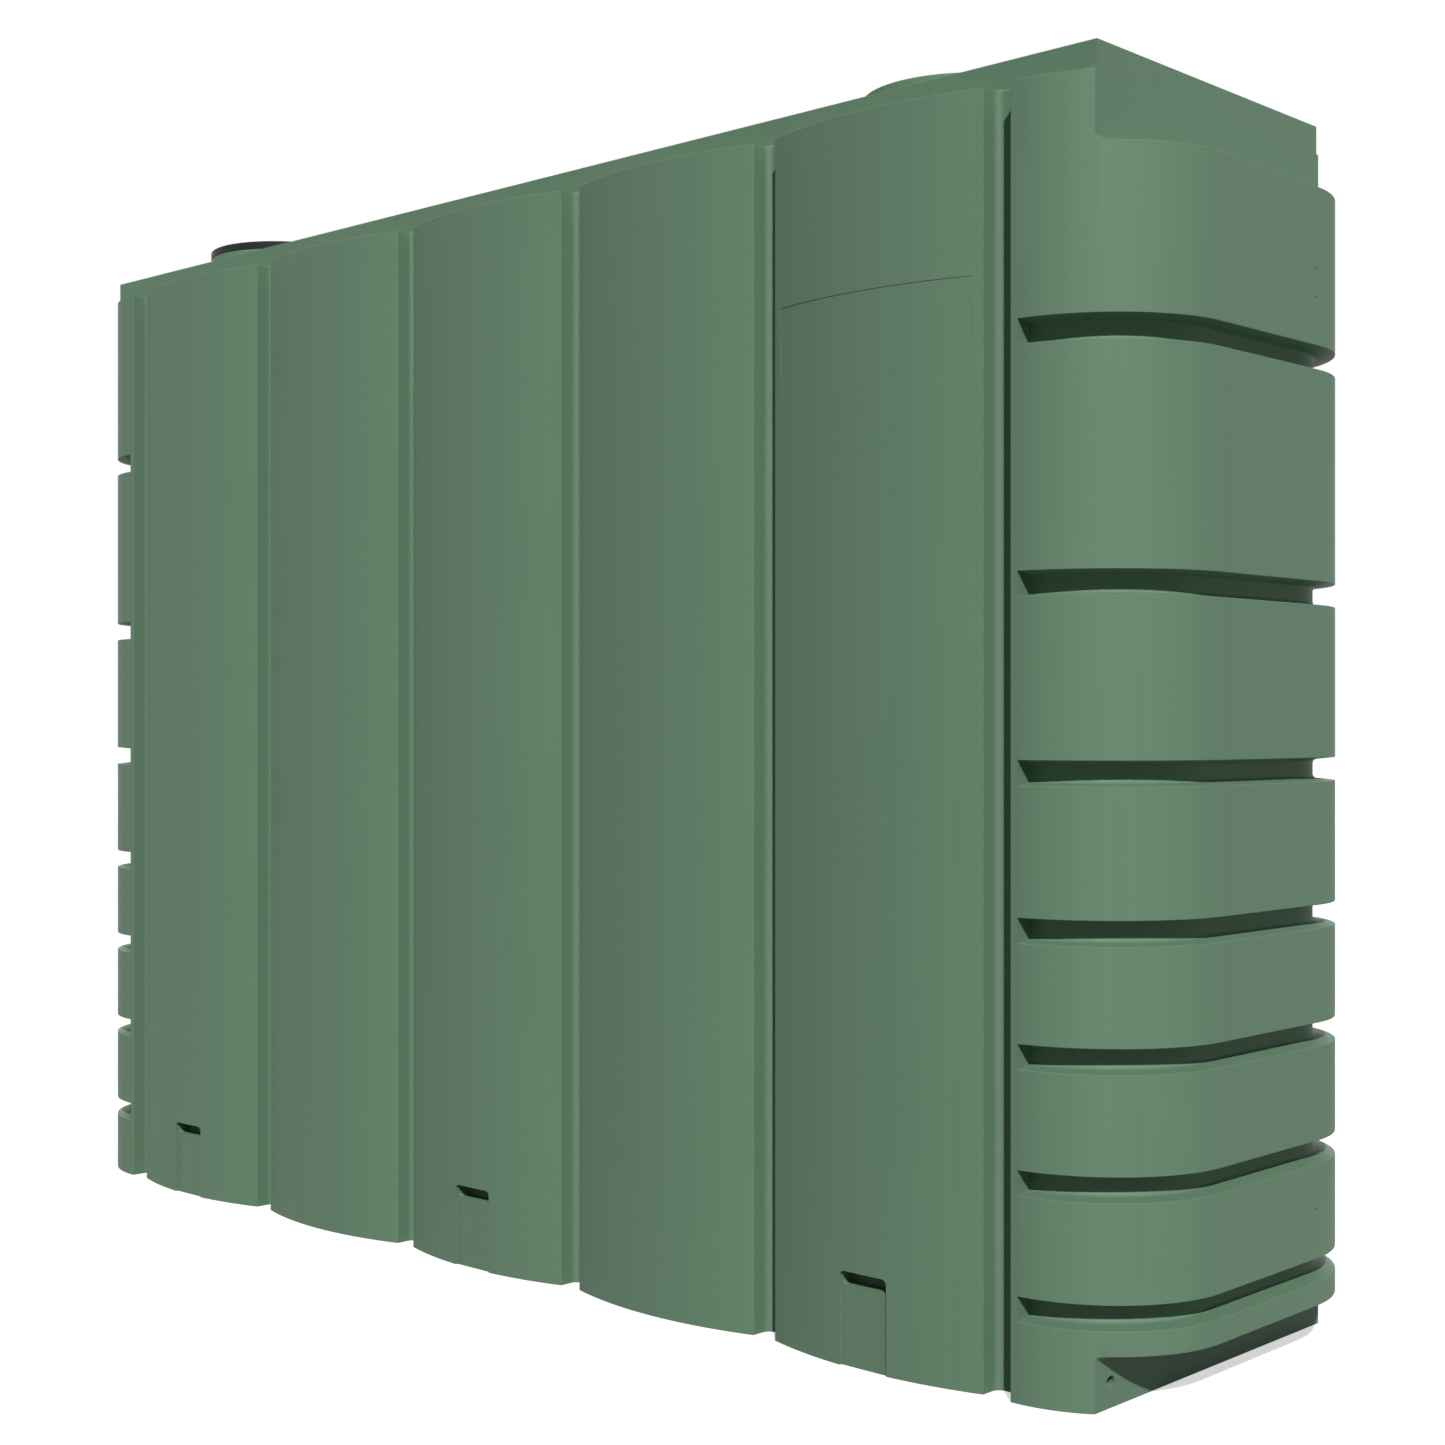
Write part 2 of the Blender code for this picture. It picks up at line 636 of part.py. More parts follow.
def make_inserts():
    """Brass bushes with a threaded bore and grooves that lock them in the plastic."""
    outer = INSERT_DIAMETER / 2
    bore = INSERT_BORE / 2
    waist = outer - INSERT_GROOVE
    top = -INSERT_SKIN - SEAT_GAP
    step = INSERT_LENGTH / 5
    heights = [top - step * index for index in range(6)]
    profile = [(bore, heights[0]), (outer, heights[0]), (outer, heights[1]), (waist, heights[1])]
    profile += [(waist, heights[4]), (outer, heights[4]), (outer, heights[5]), (bore, heights[5])]
    for end, side_name in zip(ENDS, ("left", "right")):
        for height, place_name in zip(INSERT_HEIGHTS, ("low", "middle", "high")):
            name = f"wall_tie_insert_{side_name}_{place_name}"
            insert = turned_solid(name, profile, SMALL_TURNED_STEPS, finish=BRASS)
            lay_along_x(insert, end, INSERT_OFFSET, height, HALF_LENGTH + END_REACH)


def basket_radius(drop, offset=0.0):
    """Inner radius of the strainer's basket at a drop below the neck's top."""
    top = NECK_BORE - STRAINER_CLEARANCE - STRAINER_WALL
    return top + (BASKET_FOOT_RADIUS - top) * drop / BASKET_DEPTH - offset


def make_strainer_frame():
    """One black moulding: a rim that sits on the collar and a tapered basket with windows."""
    seat = NECK_TOP + SEAT_GAP
    top = seat + STRAINER_RIM_HEIGHT
    foot = NECK_TOP - BASKET_DEPTH
    shoulder = NECK_BORE - STRAINER_CLEARANCE
    inner_top = basket_radius(0)
    ledge = BASKET_FOOT_RADIUS - BASKET_LEDGE
    chamfer = STRAINER_CHAMFER
    under = foot - STRAINER_WALL
    profile = [(inner_top, top), (NECK_RADIUS - chamfer, top), (NECK_RADIUS, top - chamfer)]
    profile += [(NECK_RADIUS, seat), (shoulder, seat), (BASKET_FOOT_RADIUS + STRAINER_WALL, under)]
    profile += [(ledge, under), (ledge, foot), (BASKET_FOOT_RADIUS, foot), (inner_top, NECK_TOP)]
    frame = turned_solid("strainer_frame", profile, TURNED_STEPS, finish=BLACK_PLASTIC)
    frame.location = INLET_CENTRE
    reach = NECK_BORE + OVERSHOOT
    window_low = foot + WINDOW_FROM_FOOT
    windows = []
    for index in range(WINDOW_COUNT):
        low = (HUB_RADIUS, -WINDOW_WIDTH / 2, window_low)
        high = (reach, WINDOW_WIDTH / 2, window_low + WINDOW_HEIGHT)
        window = box(f"basket_window_{index}", low, high, is_cutter=True)
        window.matrix_world = (
            Matrix.Translation(INLET_CENTRE)
            @ Matrix.Rotation(math.tau * index / WINDOW_COUNT, 4, "Z")
        )
        windows.append(window)
    for index, window in enumerate(windows):
        cut(frame, window)
    spoke_high = foot - HUB_STEP
    spoke_low = spoke_high - SPOKE_HEIGHT
    hub_low = spoke_low - HUB_STEP
    hub_profile = [(0, foot), (HUB_RADIUS, foot), (HUB_RADIUS, hub_low), (0, hub_low)]
    hub = turned_solid("basket_hub", hub_profile, 2 * SMALL_TURNED_STEPS, is_cutter=True)
    hub.location = INLET_CENTRE
    unite(frame, hub)
    for index in range(WINDOW_COUNT):
        low = (HUB_RADIUS / 2, -SPOKE_WIDTH / 2, spoke_low)
        high = (ledge + BASKET_LEDGE / 2, SPOKE_WIDTH / 2, spoke_high)
        spoke = box(f"basket_spoke_{index}", low, high, is_cutter=True)
        spoke.matrix_world = (
            Matrix.Translation(INLET_CENTRE)
            @ Matrix.Rotation(math.tau * (index + 0.5) / WINDOW_COUNT, 4, "Z")
        )
        unite(frame, spoke)
    return frame


def make_strainer_mesh():
    """The steel mesh cup in the basket, drawn as a thin cup with a coarse grid of gaps."""
    foot = NECK_TOP - BASKET_DEPTH + SEAT_GAP
    top = NECK_TOP - CLAMP_HEIGHT
    outer_foot = BASKET_FOOT_RADIUS - SEAT_GAP * 2
    outer_top = basket_radius(CLAMP_HEIGHT, SEAT_GAP * 2)
    inner_foot = outer_foot - MESH_THICKNESS
    floor = foot + MESH_THICKNESS
    profile = [(0, floor), (inner_foot, floor), (outer_top - MESH_THICKNESS, top), (outer_top, top)]
    profile += [(outer_foot, foot), (0, foot)]
    cup = turned_solid("strainer_mesh", profile, TURNED_STEPS, finish=STAINLESS)
    cup.location = INLET_CENTRE
    gaps = []
    reach = int(inner_foot / MESH_PITCH)
    for column in range(-reach, reach + 1):
        for row in range(-reach, reach + 1):
            x, y = column * MESH_PITCH, row * MESH_PITCH
            if math.hypot(abs(x) + MESH_GAP / 2, abs(y) + MESH_GAP / 2) > inner_foot - MESH_THICKNESS * 2:
                continue
            low = (x - MESH_GAP / 2, y - MESH_GAP / 2, foot - MESH_THICKNESS)
            high = (x + MESH_GAP / 2, y + MESH_GAP / 2, foot + 2 * MESH_THICKNESS)
            gap = box(f"mesh_gap_{column}_{row}", low, high, is_cutter=True)
            gap.location = INLET_CENTRE
            gaps.append(gap)
    cut(cup, joined("mesh_gaps", gaps, is_cutter=True))
    return cup


def make_clamp_ring():
    """The ring that holds the mesh's upper edge down in the frame."""
    low = NECK_TOP - CLAMP_HEIGHT + SEAT_GAP
    top = NECK_TOP - SEAT_GAP
    outer_top = basket_radius(0, SEAT_GAP * 2)
    outer_foot = basket_radius(CLAMP_HEIGHT, SEAT_GAP * 2)
    profile = [(outer_top - CLAMP_WIDTH, top), (outer_top, top)]
    profile += [(outer_foot, low), (outer_foot - CLAMP_WIDTH, low)]
    ring = turned_solid("mesh_clamp_ring", profile, TURNED_STEPS, finish=STAINLESS)
    ring.location = INLET_CENTRE
    return ring


def make_lid_seal():
    """The flat ring between the lid and its ledge."""
    low = LEDGE_TOP + SEAT_GAP
    inner = NECK_BORE - LEDGE_WIDTH + SEAL_FROM_EDGE
    outer = inner + SEAL_WIDTH
    profile = [(inner, SEAL_TOP), (outer, SEAL_TOP), (outer, low), (inner, low)]
    seal = turned_solid("lid_seal", profile, TURNED_STEPS, finish=RUBBER)
    seal.location = ACCESS_CENTRE
    return seal


def make_access_lid():
    """The round lid that drops into the access neck: a plate with a rim, ribs and a hub."""
    plate_low = SEAL_TOP + SEAT_GAP
    plate_high = plate_low + LID_PLATE
    rim_high = plate_low + LID_RIM_HEIGHT
    edge = NECK_BORE - LID_CLEARANCE
    profile = [(0, plate_high), (edge - LID_RIM_WIDTH, plate_high), (edge - LID_RIM_WIDTH, rim_high)]
    profile += [(edge, rim_high), (edge, plate_low), (0, plate_low)]
    lid = turned_solid("access_lid", profile, TURNED_STEPS, finish=MOULDED_GREEN)
    lid.location = ACCESS_CENTRE
    rib_high = plate_high + LID_RIB_HEIGHT
    rib_low = plate_low + LID_PLATE / 2
    hub_high = rib_high + LID_HUB_STEP
    hub_low = rib_low - LID_HUB_STEP
    hub_profile = [(0, hub_high), (LID_HUB_RADIUS, hub_high), (LID_HUB_RADIUS, hub_low), (0, hub_low)]
    hub = turned_solid("lid_hub", hub_profile, HUB_STEPS, is_cutter=True)
    hub.location = ACCESS_CENTRE
    unite(lid, hub)
    length = edge - LID_RIM_WIDTH / 2
    for index in range(LID_SCREW_COUNT):
        low = (LID_HUB_RADIUS / 2, -LID_RIB_WIDTH / 2, rib_low)
        high = (length, LID_RIB_WIDTH / 2, rib_high)
        rib = box(f"lid_rib_{index}", low, high, is_cutter=True)
        rib.matrix_world = (
            Matrix.Translation(ACCESS_CENTRE)
            @ Matrix.Rotation(math.tau * index / LID_SCREW_COUNT, 4, "Z")
        )
        unite(lid, rib)
    cut(lid, screw_holes("lid_screw_holes", plate_low - LID_PLATE, plate_high + LID_PLATE))
    return lid


def make_lid_screws():
    """Pan-head screws through the lid into the ledge."""
    low = SEAL_TOP + SEAT_GAP + LID_PLATE + SEAT_GAP
    high = low + SCREW_HEAD_HEIGHT
    tip = LEDGE_TOP - LEDGE_THICKNESS - LID_SCREW_RADIUS
    profile = [(0, high), (SCREW_HEAD_CROWN, high), (SCREW_HEAD_RADIUS, high - SCREW_HEAD_HEIGHT / 2)]
    profile += [(SCREW_HEAD_RADIUS, low), (LID_SCREW_RADIUS, low)]
    profile += [(LID_SCREW_RADIUS, tip + LID_SCREW_RADIUS), (0, tip)]
    for index, place in enumerate(lid_screw_places()):
        screw = turned_solid(f"lid_screw_{index + 1}", profile, SMALL_TURNED_STEPS, finish=STAINLESS)
        screw.location = place


make_tank_body()
make_inserts()
make_strainer_frame()
make_strainer_mesh()
make_clamp_ring()
make_lid_seal()
make_access_lid()
make_lid_screws()
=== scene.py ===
import math

import bmesh
import bpy
import numpy as np
from mathutils import Matrix, Vector


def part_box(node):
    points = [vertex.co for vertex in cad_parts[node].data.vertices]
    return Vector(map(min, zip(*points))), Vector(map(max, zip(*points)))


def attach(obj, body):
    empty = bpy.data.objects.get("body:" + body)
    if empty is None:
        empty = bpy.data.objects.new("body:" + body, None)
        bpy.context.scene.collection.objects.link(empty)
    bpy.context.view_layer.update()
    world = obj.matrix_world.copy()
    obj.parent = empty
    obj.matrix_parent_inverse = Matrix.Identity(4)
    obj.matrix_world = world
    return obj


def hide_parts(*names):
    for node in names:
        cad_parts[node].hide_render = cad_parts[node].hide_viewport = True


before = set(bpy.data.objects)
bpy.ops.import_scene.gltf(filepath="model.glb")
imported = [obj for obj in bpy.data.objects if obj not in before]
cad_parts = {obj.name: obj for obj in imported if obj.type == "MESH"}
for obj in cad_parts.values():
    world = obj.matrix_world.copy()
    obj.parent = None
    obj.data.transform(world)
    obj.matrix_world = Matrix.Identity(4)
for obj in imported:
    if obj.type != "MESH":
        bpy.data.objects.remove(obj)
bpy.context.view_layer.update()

# The camera stands at half the tank's height off its front right corner, with the view level,
# so the deck is seen edge on and every upright stays upright.
CAMERA_PLACE = (3.3363, -3.2512, 1.080)
CAMERA_HEADING = math.radians(43.246)
CAMERA_LENS = 54.71

camera = bpy.data.objects.new("camera", bpy.data.cameras.new("camera"))
camera.data.lens = CAMERA_LENS
camera.data.sensor_width = 36.0
camera.location = CAMERA_PLACE
camera.rotation_euler = (math.pi / 2, 0, CAMERA_HEADING)
bpy.context.scene.collection.objects.link(camera)
bpy.context.scene.camera = camera


# The key lamp stands high off the front right corner, where the picture's light comes from. A
# broad weak fill from behind shows the far sides. The room around them is dim to the surfaces
# and white to the camera, to gloss and to glass.
KEY_DIRECTION, KEY_STRENGTH, KEY_SPREAD = (0.635, -0.60, 0.72), 3.4, math.radians(1.5)
FILL_DIRECTION, FILL_STRENGTH, FILL_SPREAD = (-0.70, 0.60, 0.35), 0.85, math.radians(60)
KEY_COLOUR, FILL_COLOUR = (1.0, 0.97, 0.92), (1.0, 1.0, 1.0)
ROOM_STRENGTH = 0.08
WHITE = (1.0, 1.0, 1.0, 1.0)


def add_lamp(name, direction, strength, angle, colour):
    """Adds a distant lamp that shines from a direction."""
    lamp = bpy.data.objects.new(name, bpy.data.lights.new(name, "SUN"))
    lamp.data.energy = strength
    lamp.data.angle = angle
    lamp.data.color = colour
    lamp.rotation_euler = Vector(direction).to_track_quat("Z", "Y").to_euler()
    bpy.context.scene.collection.objects.link(lamp)


add_lamp("key", KEY_DIRECTION, KEY_STRENGTH, KEY_SPREAD, KEY_COLOUR)
add_lamp("fill", FILL_DIRECTION, FILL_STRENGTH, FILL_SPREAD, FILL_COLOUR)
bpy.context.scene.view_settings.view_transform = "Standard"


def add_node(tree, kind, inputs=None, **settings):
    """Adds a shader node, sets its settings, and sets its inputs or links them to outputs."""
    node = tree.nodes.new(kind)
    for name, value in settings.items():
        setattr(node, name, value)
    for name, value in (inputs or {}).items():
        if isinstance(value, bpy.types.NodeSocket):
            tree.links.new(value, node.inputs[name])
        else:
            node.inputs[name].default_value = value
    return node


def linear(colour):
    """The linear colour of an sRGB hex value, by the two parts of the sRGB curve."""
    channels = np.array([int(colour[start : start + 2], 16) for start in (1, 3, 5)]) / 255
    curved = ((channels + 0.055) / 1.055) ** 2.4
    return (*np.where(channels <= 0.04045, channels / 12.92, curved).tolist(), 1.0)


def seen_outright(tree):
    """1 for the rays that show a backdrop to the camera, in gloss or through glass, else 0."""
    path = add_node(tree, "ShaderNodeLightPath").outputs
    pair = {0: path["Is Camera Ray"], 1: path["Is Glossy Ray"]}
    either = add_node(tree, "ShaderNodeMath", pair, operation="MAXIMUM").outputs[0]
    pair = {0: either, 1: path["Is Transmission Ray"]}
    return add_node(tree, "ShaderNodeMath", pair, operation="MAXIMUM").outputs[0]


room = bpy.data.worlds.new("room")
room.use_nodes = True
tree = room.node_tree
tree.nodes.clear()
dim = add_node(tree, "ShaderNodeBackground", {"Color": linear("#e6eff4"), "Strength": ROOM_STRENGTH})
white = add_node(tree, "ShaderNodeBackground", {"Color": WHITE, "Strength": 1.0})
pair = {0: seen_outright(tree), 1: dim.outputs[0], 2: white.outputs[0]}
mixed = add_node(tree, "ShaderNodeMixShader", pair)
add_node(tree, "ShaderNodeOutputWorld", {"Surface": mixed.outputs[0]})
bpy.context.scene.world = room


# The floor is a wide pale sheet. To the camera it glows a little, so that lit paint reaches white
# and only the tank's shadow is seen on it, and it throws little light back up. It lies a hair
# below the tank's base, so that the two don't share a plane.
FLOOR_REACH, FLOOR_DROP, FLOOR_GLOW = 40.0, 0.0005, 0.63


def add_piece(name, points, faces, smooth=True):
    """Puts arrays of points and faces into a mesh object at the origin."""
    mesh = bpy.data.meshes.new(name)
    mesh.from_pydata(np.asarray(points).reshape(-1, 3).tolist(), [], faces)
    mesh.polygons.foreach_set("use_smooth", np.full(len(mesh.polygons), smooth))
    piece = bpy.data.objects.new(name, mesh)
    bpy.context.scene.collection.objects.link(piece)
    return piece


def new_material(name):
    """A material with an empty node tree."""
    made = bpy.data.materials.new(name)
    made.use_nodes = True
    made.node_tree.nodes.clear()
    return made, made.node_tree


sheet = FLOOR_REACH * np.array([(-1, -1, 0), (1, -1, 0), (1, 1, 0), (-1, 1, 0)])
floor = add_piece("floor", sheet - [0, 0, FLOOR_DROP], [(0, 1, 2, 3)], smooth=False)
floor_finish, tree = new_material("painted_floor")
bounce = add_node(tree, "ShaderNodeBsdfDiffuse", {"Color": linear("#565856")})
paint = add_node(tree, "ShaderNodeBsdfDiffuse", {"Color": linear("#cccccc")})
glow = add_node(tree, "ShaderNodeEmission", {"Color": WHITE, "Strength": FLOOR_GLOW})
pale = add_node(tree, "ShaderNodeAddShader", {0: paint.outputs[0], 1: glow.outputs[0]})
pair = {0: seen_outright(tree), 1: bounce.outputs[0], 2: pale.outputs[0]}
mixed = add_node(tree, "ShaderNodeMixShader", pair)
add_node(tree, "ShaderNodeOutputMaterial", {"Surface": mixed.outputs[0]})
floor.data.materials.append(floor_finish)


# Tank shell: one hollow moulding in green polyethylene. It is turned in an oven about two axes,
# so its wall is even and every edge is a little rounded. The bowed panels, the grooves between
# them and the level grooves round the ends are what stiffens its flat sides.

# The body and its wall, then the panels and the grooves between them, the rounded edges, the
# ends and the level grooves. Steps count the flats of a rounded edge or a fillet.
HALF_LENGTH, HALF_DEPTH = 1.412, 0.351
DECK, SHOULDER, WALL = 2.150, 2.100, 0.007
PANEL_CENTRES = np.array([0.0, 0.5, 1.0])
PANEL_HALF, PANEL_STEP, PANEL_CROWN = 0.2247, 0.0436, 0.034
PANEL_RADIUS = (PANEL_HALF**2 + PANEL_CROWN**2) / (2 * PANEL_CROWN)
PANEL_FRONT = HALF_DEPTH + PANEL_STEP + PANEL_CROWN
GROOVE_RISE, FOOT_RADIUS, FOOT_DRAFT = 0.0045, 0.012, 0.0003
GROOVE_FLOOR = HALF_DEPTH + GROOVE_RISE
EDGE_OUTSIDE, EDGE_INSIDE = 0.0012, 0.001
EDGE_STEPS, FILLET_STEPS = 3, 4
CORNER_START, CORNER_RADIUS = 1.279, 0.236
CORNER_X, CORNER_Y = 1.282, 0.1605
FLAT_END_SHARES = np.array([-0.67, -0.33, 0.0])
END_FOOT, END_TOP, SHELF_RADIUS, BAND_FILLET = 0.090, 1.990, 0.010, 0.008
RING_HEIGHTS = (0.150, 0.350, 0.550, 0.750, 1.000, 1.300, 1.700)
RING_MOUTH, RING_FLOOR, RING_DEPTH, RING_RADIUS, RING_STOP = 0.020, 0.017, 0.038, 0.008, 0.013
MIRROR_X, MIRROR_Y = np.array([-1, 1, -1, 1, 1]), np.array([1, -1, 1, -1, 1])
WELD_DISTANCE = 0.000002


def quarter_turn(steps):
    """Evenly spaced angles from 0 to 90 degrees, in radians."""
    return np.linspace(0, math.pi / 2, steps + 1)


def half_front(inset, fine):
    """Half of the front in plan, from the middle panel's crown round to the middle of the end.

    Rows of x, y, outward normal and whether the level grooves cross there. Crowns and corners
    are arcs, edges are small arcs tangent to both sides, and the grooves' feet are hollow
    quarter circles. The inset moves every line inwards by the same amount.
    """
    edge = EDGE_OUTSIDE if fine else EDGE_INSIDE
    crown_steps, foot_steps, corner_steps = (20, 4, 12) if fine else (6, 2, 4)
    crown_radius = PANEL_RADIUS - inset
    corner_radius = CORNER_RADIUS - inset
    half = PANEL_HALF - inset
    floor_y = inset - GROOVE_FLOOR
    foot = FOOT_RADIUS + inset
    rows = []

    def add(x, y, normal_x, normal_y, in_ring=0.0):
        rows.append(np.stack(np.broadcast_arrays(x, y, normal_x, normal_y, in_ring), 1))

    def add_arc(centre_x, centre_y, radius, leans, in_ring=0.0):
        x, y = np.sin(leans), -np.cos(leans)
        add(centre_x + radius * x, centre_y + radius * y, x, y, in_ring)

    def add_edge(centre_x, centre_y, first, last):
        add_arc(centre_x, centre_y, edge, np.linspace(first, last, EDGE_STEPS + 1))

    def add_foot(wall_x, side):
        swing = quarter_turn(foot_steps)[::side]
        normal_x, normal_y = side * np.cos(swing), -np.sin(swing)
        centre_x = wall_x + side * (FOOT_DRAFT + foot)
        add(centre_x - normal_x * foot, floor_y - foot - normal_y * foot, normal_x, normal_y)

    arc_y = PANEL_RADIUS - PANEL_FRONT
    edge_lean = math.asin((half - edge) / (crown_radius - edge))
    edge_y = arc_y - (crown_radius - edge) * math.cos(edge_lean)
    for centre in PANEL_CENTRES:
        first = 0
        if centre > 0:
            add_foot(centre - half, -1)
            add_edge(centre - half + edge, edge_y, -math.pi / 2, -edge_lean)
            first = -edge_lean
        steps = crown_steps if first else crown_steps // 2
        inner = np.linspace(first, edge_lean, steps + 1)[1 if first else 0 : -1]
        add_arc(centre, arc_y, crown_radius, inner)
        add_edge(centre + half - edge, edge_y, edge_lean, math.pi / 2)
        add_foot(centre + half, 1)

    start = CORNER_START + inset
    lean = math.asin(max(start + edge - CORNER_X, 0) / (corner_radius - edge))
    edge_y = -CORNER_Y - (corner_radius - edge) * math.cos(lean)
    add_foot(start, -1)
    add_edge(start + edge, edge_y, -math.pi / 2, lean)
    stop = math.asin((CORNER_START + RING_STOP - CORNER_X) / corner_radius) if fine else lean
    fillet_turn = quarter_turn(FILLET_STEPS if fine else 1)
    across_fillet = (SHELF_RADIUS + inset) * (1 - np.cos(fillet_turn))
    cut = np.arcsin((HALF_LENGTH - inset - CORNER_X + across_fillet) / corner_radius)
    before_cut = np.linspace(stop, cut[0], corner_steps)
    after_cut = np.linspace(cut[-1], math.pi / 2, corner_steps)
    crossed = np.concatenate([before_cut, cut[1:], after_cut[1:]])
    add_arc(CORNER_X, -CORNER_Y, corner_radius, np.array([stop]))
    add_arc(CORNER_X, -CORNER_Y, corner_radius, crossed, in_ring=1.0)
    add(CORNER_X + corner_radius, FLAT_END_SHARES * CORNER_Y, 1.0, 0.0, in_ring=1.0)
    return np.concatenate(rows)


def weld(piece):
    """Merges points that lie on each other, so that seams and poles are closed."""
    work = bmesh.new()
    work.from_mesh(piece.data)
    bmesh.ops.remove_doubles(work, verts=work.verts, dist=WELD_DISTANCE)
    work.to_mesh(piece.data)
    work.free()
    return piece


def skin_faces(rows, columns):
    """Four-sided faces of a grid whose columns close on themselves, with row after row above."""
    index = np.arange(rows * columns).reshape(rows, columns)
    after = np.roll(index, -1, 1)
    return np.stack([index[:-1], after[:-1], after[1:], index[1:]], -1).reshape(-1, 4).tolist()


def tank_skin(name, inset, fine):
    """The tank's surface moved inwards by the inset: stations round the plan times levels up it.

    Each level takes every station's plan point, holds it within the end's cut-out plane or the
    band's rectangle where the level is in one, and moves it inwards by a depth. Quarter circles
    of depth against height make the edges, the shelves' fillets and the level grooves. Flat
    caps close the base and the deck.
    """
    half = half_front(inset, fine)
    front = np.concatenate([half[:0:-1] * MIRROR_X, half])
    plan = np.concatenate([front, front[-2:0:-1] * MIRROR_Y])
    x, y, normal_x, normal_y, in_ring = plan.T
    side, face = np.sign(x), np.sign(y)
    cut_x, band_y = HALF_LENGTH - inset, HALF_DEPTH - inset
    edge = EDGE_OUTSIDE if fine else EDGE_INSIDE
    fillet = BAND_FILLET if fine else EDGE_INSIDE
    groove_radius = RING_RADIUS if fine else EDGE_INSIDE
    shelf = SHELF_RADIUS + inset
    edge_turn = quarter_turn(EDGE_STEPS if fine else 1)
    fillet_turn = quarter_turn(FILLET_STEPS if fine else 1)
    levels = []

    def add_level(height, reach=math.inf, depth=0.0):
        held_x = side * np.minimum(np.abs(x - normal_x * depth), cut_x + reach - depth)
        levels.append((held_x, y - normal_y * depth, height))

    for angle in edge_turn:
        add_level(inset + edge * (1 - math.cos(angle)), 0.0, edge * (1 - math.sin(angle)))
    foot, top = END_FOOT + inset, END_TOP - inset
    lip = np.clip(np.abs(x) - cut_x - shelf, 0, edge)
    for angle in fillet_turn:
        add_level(foot - shelf * (1 - math.sin(angle)), shelf * (1 - math.cos(angle)))
    for angle in edge_turn:
        add_level(foot + lip * (1 - math.cos(angle)), depth=lip * (1 - math.sin(angle)))
    mouth, floor_half, depth = RING_MOUTH + inset, RING_FLOOR + inset, RING_DEPTH + inset
    mouth_in, mouth_up = edge * (1 - np.cos(edge_turn)), edge * (np.sin(edge_turn) - 1) - mouth
    floor_in = depth - groove_radius * (1 - np.sin(edge_turn))
    floor_up = groove_radius * (1 - np.cos(edge_turn)) - floor_half
    lower = np.stack([np.append(mouth_in, floor_in), np.append(mouth_up, floor_up)], 1)
    groove = np.concatenate([lower, lower[::-1] * [1, -1]])
    for ring in RING_HEIGHTS:
        for inwards, up in groove:
            add_level(ring + up, depth=in_ring * inwards)
    for angle in edge_turn[::-1]:
        add_level(top - lip * (1 - math.cos(angle)), depth=lip * (1 - math.sin(angle)))
    for angle in fillet_turn[::-1]:
        add_level(top + shelf * (1 - math.sin(angle)), shelf * (1 - math.cos(angle)))
    shoulder, deck = SHOULDER - inset, DECK - inset
    share = np.clip((np.abs(y) - band_y) / (edge + fillet), 0, 1)
    for angle in edge_turn:
        sunk = edge * share
        add_level(shoulder - sunk * (1 - math.sin(angle)), 0.0, sunk * (1 - math.cos(angle)))
    ledge_x, ledge_y, _ = levels[-1]
    for angle in fillet_turn:
        rise = fillet * share
        held_y = face * np.minimum(np.abs(ledge_y), band_y + rise * (1 - math.sin(angle)))
        levels.append((ledge_x, held_y, shoulder + rise * (1 - math.cos(angle))))
    for angle in edge_turn:
        sunk = edge * (1 - math.cos(angle))
        held_x = side * np.minimum(np.abs(ledge_x), cut_x - sunk)
        held_y = face * np.minimum(np.abs(ledge_y), band_y - sunk)
        levels.append((held_x, held_y, deck - edge * (1 - math.sin(angle))))
    points = np.array([np.stack(np.broadcast_arrays(*level), 1) for level in levels])
    rows, columns = points.shape[:2]
    base = list(range(columns))[::-1]
    lid = list(range((rows - 1) * columns, rows * columns))
    return weld(add_piece(name, points, skin_faces(rows, columns) + [base, lid]))


def arc(centre_radius, centre_height, radius, first, last, steps=4):
    """Points of a half section along an arc, by angle in degrees from the outward level."""
    swing = np.radians(np.linspace(first, last, steps + 1))
    return [(centre_radius + radius * math.cos(a), centre_height + radius * math.sin(a)) for a in swing]


def turned(name, section, steps, place):
    """A half section of (radius, height) points turned about an axis, then placed.

    The section runs up its outer side. Its ends meet on the axis, or it is a closed ring.
    """
    radius, height = np.asarray(section, float).T
    if radius[0] > 0:
        radius, height = np.append(radius, radius[0]), np.append(height, height[0])
    swing = np.linspace(0, math.tau, steps, endpoint=False)
    x, y = radius[:, None] * np.cos(swing), radius[:, None] * np.sin(swing)
    points = np.stack([x, y, np.broadcast_to(height[:, None], x.shape)], -1)
    piece = weld(add_piece(name, points, skin_faces(len(radius), steps)))
    piece.data.transform(place)
    return piece


def prism(name, outline, low, high, place=Matrix()):
    """A flat outline, given anticlockwise, made solid from low to high along Z, then placed."""
    outline = np.asarray(outline, float)
    count = len(outline)
    levels = [np.column_stack([outline, np.full(count, height)]) for height in (low, high)]
    caps = [list(range(count))[::-1], list(range(count, 2 * count))]
    piece = add_piece(name, levels, skin_faces(2, count) + caps, smooth=False)
    piece.data.transform(place)
    return piece


def rounded_box(width, low, high, radius, foot_radius=0.0):
    """An upright rectangle's outline about X = 0, with rounded upper and lower corners."""
    points = []
    for side, height, round_radius, first in (
        (1, low, foot_radius, -90),
        (1, high, radius, 0),
        (-1, high, radius, 90),
        (-1, low, foot_radius, 180),
    ):
        inwards = round_radius if height == low else -round_radius
        centre = (side * (width / 2 - round_radius), height + inwards)
        points += arc(*centre, round_radius, first, first + 90) if round_radius else [centre]
    return points


